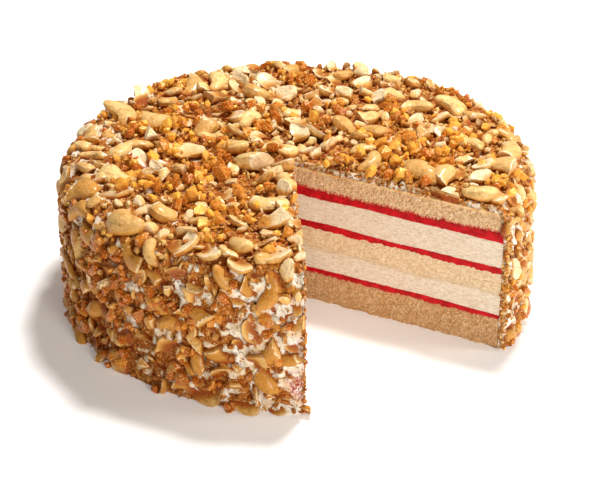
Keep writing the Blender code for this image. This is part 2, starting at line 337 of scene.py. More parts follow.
def sponge_finish(name, crumb, light, dark, jam_reach):
    """Cake crumb: light walls round pores painted dark as shade, and jam that is drawn into it near its
    seams.
    """
    finish = Finish(name, Specular_IOR_Level=0.12)
    fine = finish.grain(0.55, detail=4.0, roughness=0.7)
    fleck = finish.grain(0.9, detail=3.0, roughness=0.7)
    coarse = finish.grain(2.6, detail=3.0)
    pore = finish.cells(1.15).step(0.52, 0.12)
    pit = finish.measure("pit")
    finish.base = finish.mix(fine.step(0.38, 0.56), dark, crumb)
    finish.paint(coarse.step(0.45, 0.75) * 0.5, light)
    finish.paint(fleck.step(0.54, 0.64) * 0.8, light)
    # painted shade in the pores and in the pits of the relief
    finish.paint((pore * 0.40).both(pit * 0.6), dark)
    spray = finish.grain(0.8, detail=4.0, roughness=0.75, place=finish.stretched(1.3, 1.3, 0.5))
    reach = jam_reach * (spray - 0.36) * 7.5
    stain = (reach - finish.measure("from_jam")).step(-0.2, 0.2)
    finish.paint(stain * 0.9, colour(186, 34, 40))
    blush = (1.0 - finish.measure("from_jam") * 0.45).clamp() * fine.step(0.5, 0.7)
    finish.paint(blush * 0.28, colour(216, 104, 88))
    relief = finish.bump(fine * 0.6 + pore * -0.7 + coarse * 0.3, 0.45)
    return finish.surface(Roughness=0.75 + 0.2 * fine, Normal=relief)


def blended_finish(name, own, own_light, other, pits):
    """Ice cream or loose sponge that runs into its neighbour over a soft band, streaked by the knife, with
    small dents painted darker as shade.
    """
    finish = Finish(name, Specular_IOR_Level=0.20, Subsurface_Weight=0.12, Subsurface_Scale=0.004,
                    Subsurface_Radius=(1.0, 0.7, 0.4))
    along_cut = finish.stretched(0.42, 0.42, 1.5)
    streaks = finish.grain(0.9, detail=4.0, roughness=0.65, place=along_cut, warp=0.5)
    fine = finish.grain(0.5, detail=3.0, roughness=0.65)
    patch = finish.grain(9.0, detail=2.0)
    finish.base = finish.mix((streaks * 0.6 + fine * 0.4).step(0.36, 0.58), own, own_light)
    finish.paint(patch.step(0.52, 0.72) * 0.30, own)
    # small dents, painted darker as shade in them and sunk in the relief
    specks = finish.cells(1.3).step(0.42, 0.10) * pits
    finish.paint(specks, colour(206, 160, 110))
    band = (finish.measure("from_blend") - 1.6 * (finish.grain(1.4, detail=3.0) - 0.5)).step(1.7, -0.9)
    finish.paint(band * 0.55, other)
    reach = 0.55 * (finish.grain(0.8, detail=4.0, roughness=0.7) - 0.45) * 3.0
    stain = (reach - finish.measure("from_jam")).step(-0.15, 0.25)
    finish.paint(stain * 0.75, colour(205, 52, 52))
    relief = finish.bump(streaks * 0.7 + fine * 0.5 - specks * 0.4, 0.40)
    return finish.surface(Roughness=0.48 + 0.2 * fine, Normal=relief)


def jam_finish():
    """Crimson jam, darker where it is thick, with a few crumbs drawn through it."""
    finish = Finish("jam", Specular_IOR_Level=0.12, Coat_Roughness=0.2)
    thick = finish.grain(3.5, detail=3.0)
    fine = finish.grain(0.6, detail=4.0, roughness=0.7)
    finish.base = finish.mix(thick.step(0.35, 0.68), colour(164, 12, 18), colour(204, 20, 32))
    crumbs = fine.step(0.62, 0.74) * 0.18
    finish.paint(crumbs, colour(214, 120, 100))
    relief = finish.bump(fine * 0.5 + thick * 0.5, 0.3)
    roughness = 0.38 + 0.3 * fine
    return finish.surface(Roughness=roughness, Coat_Weight=0.06 * thick, Normal=relief)


def caramel_finish():
    """A thin golden caramel between sponge and cream."""
    finish = Finish("caramel", Specular_IOR_Level=0.5, Coat_Roughness=0.1)
    run = finish.grain(7.0, detail=3.0)
    fine = finish.grain(0.8, detail=3.0)
    finish.base = finish.mix(run.step(0.42, 0.66), colour(232, 196, 138), colour(210, 142, 58))
    finish.paint(fine.step(0.5, 0.75) * 0.4, colour(238, 212, 168))
    relief = finish.bump(fine, 0.3)
    roughness = 0.3 + 0.25 * fine
    return finish.surface(Roughness=roughness, Coat_Weight=0.5 * run, Normal=relief)


def cream_finish():
    """White whipped cream, browned all over by fine nut and brittle dust except where it lies bare."""
    finish = Finish("cream", Specular_IOR_Level=0.20, Subsurface_Weight=0.15, Subsurface_Scale=0.004,
                    Subsurface_Radius=(1.0, 0.75, 0.5))
    bare = finish.measure("bare")
    soft = finish.grain(5.0, detail=3.0)
    dust = finish.grain(1.1, detail=5.0, roughness=0.7)
    gold = finish.grain(2.2, detail=4.0, roughness=0.65)
    # painted light and shade: soft patches of the white lighter and darker
    lit = (soft * 0.5 + dust * 0.5).step(0.38, 0.58)
    white = finish.mix(lit, colour(234, 196, 150), colour(255, 247, 232))
    ground = finish.mix(gold.step(0.36, 0.62), colour(140, 56, 8), colour(212, 132, 44))
    ground = finish.mix(dust.step(0.53, 0.67), ground, colour(240, 202, 136))
    cover = (dust * 1.6 - bare * 0.90).step(-0.06, 0.26)
    finish.base = finish.mix((cover * 2.0).clamp(), white, colour(230, 178, 108))
    finish.paint((cover * 2.0 - 1.0).clamp(), ground)
    jam = (finish.measure("jam_smear") * 1.3 - 0.65 + soft * 0.9).clamp() * dust.step(0.45, 0.53)
    finish.paint(jam * 0.9, colour(196, 30, 48))
    relief = finish.bump(dust * (0.4 + 0.6 * cover) + soft * 0.4, 1.1)
    return finish.surface(Roughness=0.42 + 0.3 * cover, Normal=relief)


def nut_finish():
    """Roasted cashew: golden skin with patches of caramel glaze, paler where it is split or broken, with
    painted shade on the wall, under each piece, on faces turned from the light and deep among the pieces,
    and painted highlights on fine flecks and along the rims of breaks.
    """
    finish = Finish("cashew", Specular_IOR_Level=0.30, Specular_Tint=GOLDEN_SHEEN,
                    Coat_Tint=GOLDEN_SHEEN, Coat_Roughness=0.16,
                    Subsurface_Weight=0.05, Subsurface_Scale=0.002, Subsurface_Radius=(1.0, 0.6, 0.25))
    tone = finish.measure("tone")
    pale = finish.measure("pale")
    cloud = finish.grain(4.0, detail=3.0)
    fine = finish.grain(0.7, detail=4.0, roughness=0.6)
    mottle = finish.grain(1.9, detail=3.0, roughness=0.6)
    # a random roast plus painted shade on the wall, both carried by the tone
    roast_and_wall_shade = (tone * 0.8 + cloud * 0.5).step(0.2, 1.1)
    skin = finish.mix(roast_and_wall_shade, colour(240, 208, 146), colour(200, 138, 56))
    inside = finish.mix(roast_and_wall_shade, colour(248, 232, 202), colour(234, 192, 122))
    finish.base = finish.mix(pale.step(0.25, 0.80) * 0.95, skin, inside)
    finish.paint(mottle.step(0.48, 0.36) * 0.16, colour(218, 152, 68))
    # painted small highlights on fine flecks
    finish.paint(fine.step(0.55, 0.70) * 0.25, colour(252, 234, 194))
    # painted shade on faces turned from the light
    finish.paint(finish.measure("away_from_light_shade") * 0.62, colour(208, 148, 60))
    glaze = finish.grain(3.0, detail=5.0, roughness=0.6, warp=0.9).step(0.54, 0.66)
    finish.paint(glaze * (0.34 - 0.22 * pale), colour(214, 134, 44))
    under, sunk = finish.measure("under"), finish.measure("sunk")
    # painted warm golden shade under each piece and deep among the pieces
    golden = under.both(sunk).step(0.0, 0.6) * (0.70 + 0.24 * pale)
    finish.paint(golden, colour(208, 150, 64))
    # darker painted shade under each piece
    finish.paint(under.step(0.35, 1.0) * 0.70, colour(182, 104, 24))
    # darkest painted shade deep among the pieces, by the cream
    finish.paint(sunk.step(0.30, 0.95) * 0.82, colour(150, 50, 6))
    # painted highlight along the rims of breaks, except deep among the pieces
    edge = pale.step(0.05, 0.45) * pale.step(0.95, 0.55) * (1.0 - sunk)
    finish.paint(edge * 0.70, colour(255, 244, 218))
    relief = finish.bump(fine * 0.30 + mottle * 0.6 + cloud * 0.5 + glaze * 0.15, 1.2)
    return finish.surface(Roughness=0.32 + 0.25 * fine, Coat_Weight=0.20 + 0.35 * glaze, Normal=relief)


def brittle_finish():
    """Hard caramel brittle: glossy amber, from honey to red brown at random, darker on the wall as painted
    shade, with painted glints on fine flecks and a faint painted glow.
    """
    # the emission is a faint painted glow
    finish = Finish("brittle", Specular_IOR_Level=0.50, Specular_Tint=GOLDEN_SHEEN, Coat_Roughness=0.06,
                    Emission_Color=colour(255, 165, 50), Emission_Strength=0.025,
                    Subsurface_Weight=0.40, Subsurface_Scale=0.003, Subsurface_Radius=(1.0, 0.70, 0.20))
    tone = finish.measure("tone")
    cloud = finish.grain(2.4, detail=3.0)
    fine = finish.grain(0.7, detail=3.0)
    # random tone and cloud, plus painted shade on the wall carried by the tone
    depth = (tone * 0.8 + cloud * 0.5).step(0.2, 1.05)
    finish.base = finish.mix(depth, colour(244, 176, 70), colour(170, 78, 8))
    # painted glints on fine flecks
    finish.paint(fine.step(0.52, 0.64) * 0.50, colour(252, 212, 126))
    relief = finish.bump(fine, 0.25)
    return finish.surface(Roughness=0.10 + 0.2 * fine, Coat_Weight=0.10 - 0.05 * fine, Normal=relief)


def crumb_finish():
    """Finely chopped nut, from pale to toasted at random, and darker on the wall as painted shade."""
    finish = Finish("nut_crumb", Specular_IOR_Level=0.15, Specular_Tint=GOLDEN_SHEEN)
    tone = finish.measure("tone")
    fine = finish.grain(0.6, detail=3.0)
    # the tone holds a random roast and painted shade on the wall
    finish.base = finish.mix(tone.step(0.05, 0.95), colour(232, 190, 114), colour(158, 86, 24))
    finish.paint(fine.step(0.5, 0.8) * 0.4, colour(232, 196, 142))
    return finish.surface(Roughness=0.5 + 0.2 * fine, Normal=finish.bump(fine, 0.2))


def floor_finish():
    """A pale matt table top with the faintest mottle."""
    finish = Finish("pale_floor", Specular_IOR_Level=0.2, Emission_Color=(1.0, 1.0, 1.0, 1.0),
                    Emission_Strength=0.20)
    cloud = finish.grain(160.0, detail=2.0)
    finish.base = finish.mix(cloud, colour(246, 246, 246), colour(250, 250, 249))
    return finish.surface(Roughness=0.8 + 0.05 * cloud)


# Large primes that scramble whole numbers, and how many of their low bits are kept
CELL_PRIMES = (73856093, 19349663, 83492791)
SEED_PRIME = 374761393
SCRAMBLES = ((13, 1274126177), (15, 668265263))
KEPT_BITS = 0x7FFFFFFF
READ_BITS = 0xFFFFFF


def lattice(cells, seed):
    """An even random number from 0 to 1 for each whole-numbered cell."""
    mixed = seed * SEED_PRIME
    for axis, prime in enumerate(CELL_PRIMES):
        mixed = mixed ^ cells[..., axis] * prime
    for shift, prime in SCRAMBLES:
        mixed = ((mixed ^ (mixed >> shift)) & KEPT_BITS) * prime & KEPT_BITS
    return (mixed & READ_BITS) / float(READ_BITS)


def lumps(points, size, seed=0):
    """Smooth noise of this size over many points at once, -1 to 1."""
    scaled = np.asarray(points, float) / size
    cell = np.floor(scaled).astype(np.int64)
    part = scaled - cell
    part = part * part * (3.0 - 2.0 * part)
    total = np.zeros(scaled.shape[:-1])
    for corner in np.ndindex(2, 2, 2):
        corner = np.array(corner)
        weight = np.prod(np.where(corner == 1, part, 1.0 - part), axis=-1)
        total += weight * lattice(cell + corner, seed)
    return 2.0 * total - 1.0


def rolling(points, *waves):
    """The sum of smooth noises, each given by its height, its size and its seed."""
    return sum(height * lumps(points, size, seed) for height, size, seed in waves)


def nearest_cell(points, size, seed=0):
    """Distance to the nearest of scattered seeds, one in each cell of this size, as a share of the size."""
    scaled = np.asarray(points, float) / size
    cell = np.floor(scaled).astype(np.int64)
    least = np.full(scaled.shape[:-1], 9.0)
    for step in np.ndindex(3, 3, 3):
        near = cell + np.array(step) - 1
        spot = near + np.stack([lattice(near, seed + axis) for axis in range(3)], axis=-1)
        least = np.minimum(least, np.linalg.norm(spot - scaled, axis=-1))
    return least


def smooth(values, low, high):
    """0 below low, 1 above high and smooth between; falling where low is the greater."""
    share = np.clip((values - low) / (high - low), 0.0, 1.0)
    return share * share * (3.0 - 2.0 * share)


def hold(mesh, measure, values):
    """A number at each point of a mesh, which its finish reads by name."""
    attribute = mesh.attributes.new(measure, "FLOAT", "POINT")
    attribute.data.foreach_set("value", np.asarray(values, np.float32))


def make_piece(name, points, faces, finish, measures, crease=None):
    """A mesh piece from points in millimetres, which rides on the cake."""
    mesh = bpy.data.meshes.new(name)
    mesh.from_pydata((points * MM).tolist(), [], faces)
    for measure, values in measures.items():
        hold(mesh, measure, values)
    mesh.shade_smooth()
    if crease is not None:
        mesh.set_sharp_from_angle(angle=math.radians(crease))
    mesh.materials.append(finish)
    made = bpy.data.objects.new(name, mesh)
    bpy.context.scene.collection.objects.link(made)
    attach(made, "root")
    return made


class Skin:
    """The points of one piece, what they measure and the faces between them, gathered bit by bit."""

    def __init__(self, **resting):
        self.blocks, self.faces, self.count = [], [], 0
        self.resting = resting
        self.measures = {name: [] for name in resting}

    def add(self, points, **measures):
        """More points, in a grid of any shape, and their numbers in the same grid."""
        grid = points.shape[:-1]
        self.blocks.append(points.reshape(-1, 3))
        for name, rest in self.resting.items():
            self.measures[name].append(np.broadcast_to(measures.get(name, rest), grid).ravel())
        numbers = self.count + np.arange(math.prod(grid)).reshape(grid)
        self.count += math.prod(grid)
        return numbers

    def face(self, *corners, flipped=False):
        """One face through points that are given singly or in rows."""
        corners = np.hstack(corners).tolist()
        self.faces.append(corners[::-1] if flipped else corners)

    def sheet(self, grid, flipped=False):
        """Faces between all the neighbours in a grid of points."""
        corners = [grid[:-1, :-1], grid[1:, :-1], grid[1:, 1:], grid[:-1, 1:]]
        quads = np.stack(corners[::-1] if flipped else corners, axis=-1)
        self.faces += quads.reshape(-1, 4).tolist()

    def fan(self, tip, row, flipped=False):
        """Faces between a tip and each stretch of a row of points."""
        trios = np.column_stack([np.full(len(row) - 1, tip), row[:-1], row[1:]])
        self.faces += (trios[:, ::-1] if flipped else trios).tolist()

    def points(self):
        """All the points so far."""
        return np.concatenate(self.blocks)

    def finished(self, name, finish, slot, crease=None, **measures):
        """The piece itself, with more measures where they are given."""
        measures |= {key: np.concatenate(values) for key, values in self.measures.items()}
        return make_piece(name, self.points(), self.faces, finish, measures, crease)


def seam_height(number, x, y):
    """Height of the seam on top of a layer, as in the solids, or of the flat base for number -1."""
    if number < 0:
        return np.zeros_like(x)
    _, height, _, unevenness = LAYERS[number]
    turn = 1.9 * number
    swell = np.sin(x / 15.0 + turn) * np.cos(y / 19.0 - 0.7 * turn)
    ripple = np.sin((x - 0.6 * y) / 8.0 + 2.3 * turn)
    return height + unevenness * (0.7 * swell + 0.3 * ripple)


# How far the knife drew each seam about, and the share and size of the tears, the finest last
SEAM_TEAR = {
    "sponge_bottom": 0.55, "jam_lower": 0.22, "ice_cream_lower": 0.5,
    "sponge_middle": 0.6, "jam_middle": 0.18, "ice_cream_upper": 0.22,
    "jam_upper": 0.65, "sponge_top": 0.35, "caramel": 0.1,
}
TEAR_REACH = 1.6
TEAR_STEP = 7.0
TEARS = ((0.45, 2.6), (0.35, 1.1), (0.20, 0.55))


def torn_seam(number, x, y):
    """A seam's height at the cut, with the raggedness that the knife left."""
    height = seam_height(number, x, y)
    if number < 0:
        return height
    place = np.stack([x, y, np.full_like(x, TEAR_STEP * number)], axis=-1)
    tear = rolling(place, *[(share, size, number) for share, size in TEARS])
    return height + TEAR_REACH * SEAM_TEAR[NAMES[number]] * tear


def rim_point(angle, radius):
    """Where a line from the apex at this angle crosses the circle of this radius about the axis."""
    across, along = np.cos(angle), np.sin(angle)
    lean = APEX[0] * across + APEX[1] * along
    reach = np.sqrt(lean ** 2 + radius ** 2 - APEX[0] ** 2 - APEX[1] ** 2) - lean
    return np.stack([APEX[0] + reach * across, APEX[1] + reach * along], axis=-1)


def from_axis(place):
    """How far each place is from the upright line through the cake's middle."""
    return np.hypot(place[..., 0], place[..., 1])


def cut_normal(side):
    """The direction in which a cut face looks, into the gap."""
    angle = RIGHT_CUT - math.pi / 2 if side == "right" else LEFT_CUT + math.pi / 2
    return np.array((math.cos(angle), math.sin(angle), 0.0))


def sponge_relief(place, seed):
    """Open crumb: pores of two sizes in a gently uneven face, as relief and as how deep in a pore."""
    wide = smooth(nearest_cell(place, 2.3, seed), 0.42, 0.10)
    small = smooth(nearest_cell(place, 1.1, seed + 7), 0.46, 0.12)
    pit = np.maximum(wide * smooth(lumps(place, 3.0, seed + 3), -0.4, 0.5), 0.7 * small)
    rough = rolling(place, (0.22, 0.8, seed + 5), (0.25, 7.0, seed + 9))
    return rough - 0.55 * pit - 0.15, pit


def ice_relief(place, seed):
    """Knife streaks along the cut and a few dents, as relief and as how deep in a dent."""
    along = place @ np.array((0.12, 0.12, 1.7))
    across = np.stack([place[..., 0] * 0.12, place[..., 1] * 0.12, along], axis=-1)
    streak = lumps(across, 0.9, seed)
    dent = smooth(nearest_cell(place, 2.6, seed + 2), 0.30, 0.05)
    return 0.10 * streak + 0.15 * lumps(place, 6.0, seed + 4) - 0.2 * dent - 0.1, dent


def jam_relief(place, seed):
    """A soft face without pits."""
    return rolling(place, (0.18, 1.3, seed), (0.12, 0.6, seed + 1)), np.zeros(place.shape[:-1])


# The cut faces: how fine they are, and how far the crumb at the foot breaks away
CUT_STEP = 0.46
CUT_COLUMNS = 208
ALONG_CUT = np.linspace(0.0, 1.0, CUT_COLUMNS + 1)[:, None]
LEAST_ROWS = 3
LEAST_THICKNESS = 0.3
CRUMBLE = 1.5
CRUMBLE_HEIGHT = 2.6
CRUMBLE_WAVES = ((0.45, 2.2, 5), (0.35, 5.0, 6))
CUT_CREASE = 66.0
PLAIN_TIP = 0.02

# How far the pale sponge laps over the ice cream that it blends with, and over what height
SEAM_OVERLAP = 0.45
OVERLAP_PUSH = 0.3
BLEND_HEIGHT = 1.6

# Behind the cuts: the strip and the point that close a layer over its seams, and the stops round its rim
SEAM_INSET = 1.5
INSET_END = 0.1
HUB = (APEX - 60.0 * np.array((math.cos(GAP_MIDDLE), math.sin(GAP_MIDDLE))))[None]
RIM_STOPS = 72
LAYER_REACH = 0.6
FAR = 99.0


def layer_faces_measure(number, place, low, high):
    """How far each point is from the nearest jam, and from the neighbour that a layer blends into."""
    far = np.full(place.shape[:-1], FAR)
    from_jam, from_blend = far.copy(), far.copy()
    name = NAMES[number]
    if not name.startswith("jam"):
        if number and NAMES[number - 1].startswith("jam"):
            from_jam = np.minimum(from_jam, place[..., 2] - low)
        if number + 1 < len(NAMES) and NAMES[number + 1].startswith("jam"):
            from_jam = np.minimum(from_jam, high - place[..., 2])
    if name == "ice_cream_lower":
        from_blend = high - place[..., 2]
    if name == "sponge_middle":
        from_blend = place[..., 2] - low
    return from_jam, from_blend


def layer_rows(number):
    """How many rows of faces the cut through a layer takes."""
    below = LAYERS[number - 1][1] if number else 0.0
    return max(LEAST_ROWS, round((LAYERS[number][1] - below) / CUT_STEP))


def layer_seams(number):
    """A layer's lower and upper seam, each with the radius of the layer there."""
    foot = LAYERS[number - 1][2] if number else FOOT_RADIUS
    return (number - 1, foot + LAYER_REACH), (number, LAYERS[number][2] + LAYER_REACH)


def cut_line(side, radius):
    """Level places along a cut, from the tip of the gap to the rim."""
    return APEX + ALONG_CUT * (rim_point(CUTS[side], radius) - APEX)


def on_seam(seam, level, drop=0.0):
    """Level places brought to the height of a seam."""
    return np.column_stack([level, seam_height(seam, level[:, 0], level[:, 1]) - drop])


def cut_face(number, side, relief, tucked):
    """One cut face of a layer, column by column from the gap's tip to the rim, and its measures."""
    low, high = (cut_line(side, radius) for _, radius in layer_seams(number))
    low = np.column_stack([low, torn_seam(number - 1, low[:, 0], low[:, 1])])[:, None]
    high = np.column_stack([high, torn_seam(number, high[:, 0], high[:, 1])])[:, None]
    high[..., 2] = np.maximum(high[..., 2], low[..., 2] + LEAST_THICKNESS)
    foot = low - np.array((0.0, 0.0, tucked))
    place = foot + np.linspace(0.0, 1.0, layer_rows(number) + 1)[None, :, None] * (high - foot)
    push, pit = relief(place, 11 * number + 3)
    if number == 0:
        broken = 0.55 + rolling(place, *CRUMBLE_WAVES)
        push = push - smooth(place[..., 2], CRUMBLE_HEIGHT, 0.0) * CRUMBLE * broken
    from_jam, from_blend = layer_faces_measure(number, place, low[..., 2], high[..., 2])
    push = push * smooth(from_blend, 0.0, BLEND_HEIGHT)
    push = push - tucked * OVERLAP_PUSH * smooth(from_blend, 0.15, -0.1)
    push = push * smooth(ALONG_CUT, 0.0, PLAIN_TIP)
    measures = {"pit": pit, "from_jam": from_jam, "from_blend": from_blend}
    return place + push[..., None] * cut_normal(side), measures


def close_seam(skin, seam, radius, edges, rim, drop, upward):
    """Faces over a layer's top or foot: strips behind both cuts, and a fan from a point inside the cake."""
    inset = SEAM_INSET * np.minimum((1.0 - ALONG_CUT) / INSET_END, 1.0)
    inner = {}
    for side in CUTS:
        line = cut_line(side, radius) - inset * cut_normal(side)[:2]
        inner[side] = skin.add(on_seam(seam, line[:-1], drop))
    hub = skin.add(on_seam(seam, HUB, drop))
    for side, edge in edges.items():
        flipped = (side == "left") == upward
        skin.sheet(np.stack([edge[:-1], inner[side]], axis=1), flipped)
        skin.face(edge[-2:], inner[side][-1], flipped=flipped)
    skin.face(edges["right"][0], inner["right"][0], inner["left"][0], flipped=not upward)
    loop = np.hstack([inner["right"], edges["right"][-1], rim, edges["left"][-1], inner["left"][::-1]])
    skin.fan(hub, np.append(loop, loop[0]), flipped=not upward)


def make_layer(number, finish, slot, relief):
    """A layer with its two cut faces in fine relief, closed round the rim and over both seams."""
    name = NAMES[number]
    skin = Skin(pit=0.0, from_jam=FAR, from_blend=FAR)
    tucked = SEAM_OVERLAP if name == "sponge_middle" else 0.0
    place, measures = cut_face(number, "right", relief, tucked)
    right = skin.add(place, **measures)
    place, measures = cut_face(number, "left", relief, tucked)
    left = skin.add(place[1:], **{key: values[1:] for key, values in measures.items()})
    left = np.concatenate([right[:1], left])
    skin.sheet(right)
    skin.sheet(left, flipped=True)
    angles = np.linspace(RIGHT_CUT, LEFT_CUT, RIM_STOPS + 1)[1:-1]
    below, above = layer_seams(number)
    lower, upper = (skin.add(on_seam(seam, rim_point(angles, radius))) for seam, radius in (below, above))
    skin.sheet(np.stack([lower, upper], axis=1))
    skin.face(lower[0], upper[0], right[-1, ::-1])
    skin.face(lower[-1], left[-1], upper[-1])
    close_seam(skin, *below, {"right": right[:, 0], "left": left[:, 0]}, lower, tucked, upward=False)
    close_seam(skin, *above, {"right": right[:, -1], "left": left[:, -1]}, upper, 0.0, upward=True)
    made = skin.finished(name + "_cut", finish, slot, crease=CUT_CREASE)
    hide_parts(name)
    return made


def cream_spans():
    """How far the cream runs flat from the middle, then over its shoulder, then down the side."""
    return CREAM_RADIUS - SHOULDER, SHOULDER * math.pi / 2, CREAM_TOP - SHOULDER


def cream_shape(azimuth, along):
    """Places and outward directions on the cream before its waves, for many points at once."""
    flat, bend, side = cream_spans()
    turn = np.clip((along - flat) / SHOULDER, 0.0, math.pi / 2)
    rise = math.pi / 2 - turn
    down = np.maximum(along - flat - bend, 0.0)
    lean = (CREAM_RADIUS - CREAM_FOOT_RADIUS) / side
    radius = np.minimum(along, flat) + SHOULDER * np.sin(turn) - lean * down
    height = CREAM_TOP - SHOULDER * (1.0 - np.cos(turn)) - down
    across, deep = np.cos(azimuth), np.sin(azimuth)
    place = np.stack([radius * across, radius * deep, height], axis=-1)
    outward = np.stack([across * np.cos(rise), deep * np.cos(rise), np.sin(rise)], axis=-1)
    return place, outward


def cream_wave(place):
    """How far the cream's slow waves stand out at each place."""
    scaled = place.reshape(-1, 3) / CREAM_WAVE_LENGTH
    wave = np.array([noise.noise(Vector(point)) for point in scaled.tolist()])
    return CREAM_WAVE * wave.reshape(place.shape[:-1])


def cream_surface(azimuth, along):
    """Places on the cream and their outward directions, this far from its middle over top and side."""
    place, outward = cream_shape(np.asarray(azimuth, float), np.asarray(along, float))
    return place + outward * cream_wave(place)[..., None], outward


def stands_out(place):
    """How far each place stands out over the cream's rounded form."""
    over_rim = np.maximum(from_axis(place) - CREAM_RADIUS + SHOULDER, 0.0)
    over_top = np.maximum(place[..., 2] - CREAM_TOP + SHOULDER, 0.0)
    return np.hypot(over_rim, over_top) - SHOULDER


def sunk_share(place):
    """Painted shade deep among the pieces: 1 at the cream, 0 where a place stands clear of it."""
    return smooth(stands_out(place), CLEAR_OF_CREAM, -0.3)


def pressed_in(points, place, outward):
    """Pieces moved into the cream until none stands out farther than it may, which is less near the rim."""
    limit = STAND_TOP + (STAND_SIDE - STAND_TOP) * smooth(from_axis(place), *STAND_BAND)
    over = np.asarray(np.maximum(stands_out(points).max(axis=-1) - limit, 0.0))
    return points - over[..., None, None] * outward[..., None, :]


def gap_sides(place):
    """How far each place is from the right and from the left cut, above zero on the cake's side."""
    x, y = place[..., 0] - APEX[0], place[..., 1] - APEX[1]
    from_right = math.cos(RIGHT_CUT) * y - math.sin(RIGHT_CUT) * x
    from_left = math.sin(LEFT_CUT) * x - math.cos(LEFT_CUT) * y
    return from_right, from_left


def gap_distance(place):
    """How far each place is from the missing slice, below zero inside it."""
    return np.maximum(*gap_sides(np.asarray(place, float)))


def trimmed(place, overhang):
    """A piece that would stand in the gap or below the floor is brought back to where the knife passed."""
    from_right, from_left = gap_sides(place)
    on_wall = smooth(from_axis(place), *WALL_BAND)
    in_layers = smooth(from_axis(place), *LAYER_SIDE_BAND) * smooth(place[..., 2], *LAYER_TOP_BAND)
    reach = (-overhang - WALL_OVERHANG * on_wall) * (1.0 - in_layers) + BEHIND_CUT * in_layers
    in_gap = np.any(np.maximum(from_right, from_left) < reach, axis=-1, keepdims=True)
    by_right = from_right.mean(axis=-1, keepdims=True) > from_left.mean(axis=-1, keepdims=True)
    depth = np.where(in_gap, np.maximum(reach - np.where(by_right, from_right, from_left), 0.0), 0.0)
    normal = np.where(by_right[..., None], cut_normal("right"), cut_normal("left"))
    place = place - depth[..., None] * normal
    place[..., 2] = np.maximum(place[..., 2], FLOOR_SKIN)
    return place


def bareness(place):
    """Where white cream lies bare: low on the front by the left cut, and in small patches elsewhere."""
    across, deep, height = place[..., 0], place[..., 1], place[..., 2]
    from_left = np.abs(gap_sides(place)[1])
    front = smooth(from_left, *FRONT_BARE) * smooth(height, *FRONT_HEIGHTS) * (deep < 0.0)
    front = front * (1.0 + 0.5 * smooth(from_left, *BARE_BY_CUT))
    left = smooth(across, *LEFT_BARE) * smooth(height, *LEFT_HEIGHTS)
    right = smooth(across, *RIGHT_BARE) * smooth(height, *RIGHT_HEIGHTS)
    patches = rolling(place, *BARE_WAVES) + 0.46 * front + 0.44 * left + 0.40 * right
    return np.clip(smooth(patches, 0.22, 0.50) + smear_share(place), 0.0, 1.0)


def amber_share(place):
    """Where brittle gathers, 0 to 1."""
    return smooth(rolling(place, *AMBER_WAVES), 0.10, 0.24)


# How fine the cream's mesh is, and how far its inner side keeps from the layers
CREAM_ANGLES = 560
CREAM_TOP_STOPS = 74
CREAM_SHOULDER_STOPS = 14
CREAM_SIDE_STOPS = 60
CREAM_CUT_ROWS = 5
CORE_GAP = 0.15
CORE_SIDE_GAP = 0.2
CORE_BEND = LAYERS[NAMES.index("jam_upper")][1]
CORE_BEND_STOPS = 10
INNER_STEP = 16
CLOSER_AT_RIM = 0.8
CLOSER_BY_CUT = 0.07
DEEPEST_DENT = -0.7
SECTION_SINK = 0.25
SECTION_BAND = (2.6, 0.2)


def cream_angles():
    """Angles from the right cut to the left one, closer together on the front by the left cut."""
    even = np.linspace(0.0, 1.0, CREAM_ANGLES + 1)
    return RIGHT_CUT + (LEFT_CUT - RIGHT_CUT) * (even + CLOSER_BY_CUT * np.sin(math.pi * even) ** 2 * even)


def whipped(place):
    """Height of the fine relief of cream and the dust on it."""
    bare = bareness(place)
    soft = 0.7 * lumps(place, 7.5, 41) + 1.1 * np.abs(lumps(place, 3.6, 42)) - 0.45
    grit = rolling(place, *GRIT_WAVES)
    peaks = 1.5 * bare * (0.6 + lumps(place, 3.6, 22) + 0.6 * lumps(place, 1.8, 23))
    return soft * (0.5 + 0.4 * bare) + grit * (1.0 - 0.3 * bare) + peaks


def make_cream(finish):
    """The whipped cream over top and side, with its section at both cuts."""
    flat, bend, side = cream_spans()
    angles = cream_angles()
    shares = np.linspace(0.0, 1.0, CREAM_TOP_STOPS + 1)[1:] ** CLOSER_AT_RIM
    stops = np.concatenate([
        flat + bend * np.linspace(0.0, 1.0, CREAM_SHOULDER_STOPS + 1)[1:],
        flat + bend + side * np.linspace(0.0, 1.0, CREAM_SIDE_STOPS + 1)[1:],
    ])
    rim = rim_point(angles, flat)
    top = APEX + shares[:, None, None] * (rim - APEX)
    outer = [np.concatenate([top, np.full((*top.shape[:2], 1), CREAM_TOP)], axis=-1)]
    outward = [np.broadcast_to(np.array((0.0, 0.0, 1.0)), outer[0].shape)]
    for stop in stops:
        shape, _ = cream_shape(0.0, np.array(stop))
        rim = rim_point(angles, shape[0])
        azimuth = np.arctan2(rim[:, 1], rim[:, 0])
        place, normal = cream_shape(azimuth, np.full(len(angles), stop))
        outer.append(place[None])
        outward.append(normal[None])
    outer, outward = np.concatenate(outer), np.concatenate(outward)
    settled = outer + outward * cream_wave(outer)[..., None]
    fine = whipped(settled)
    fine[-1] = 0.0
    outer = settled + outward * np.maximum(fine, DEEPEST_DENT)[..., None]
    outer[-1, :, 2] = FLOOR_SKIN
    inner = core_points(outer, angles, len(shares))
    return join_cream(outer, inner, finish)


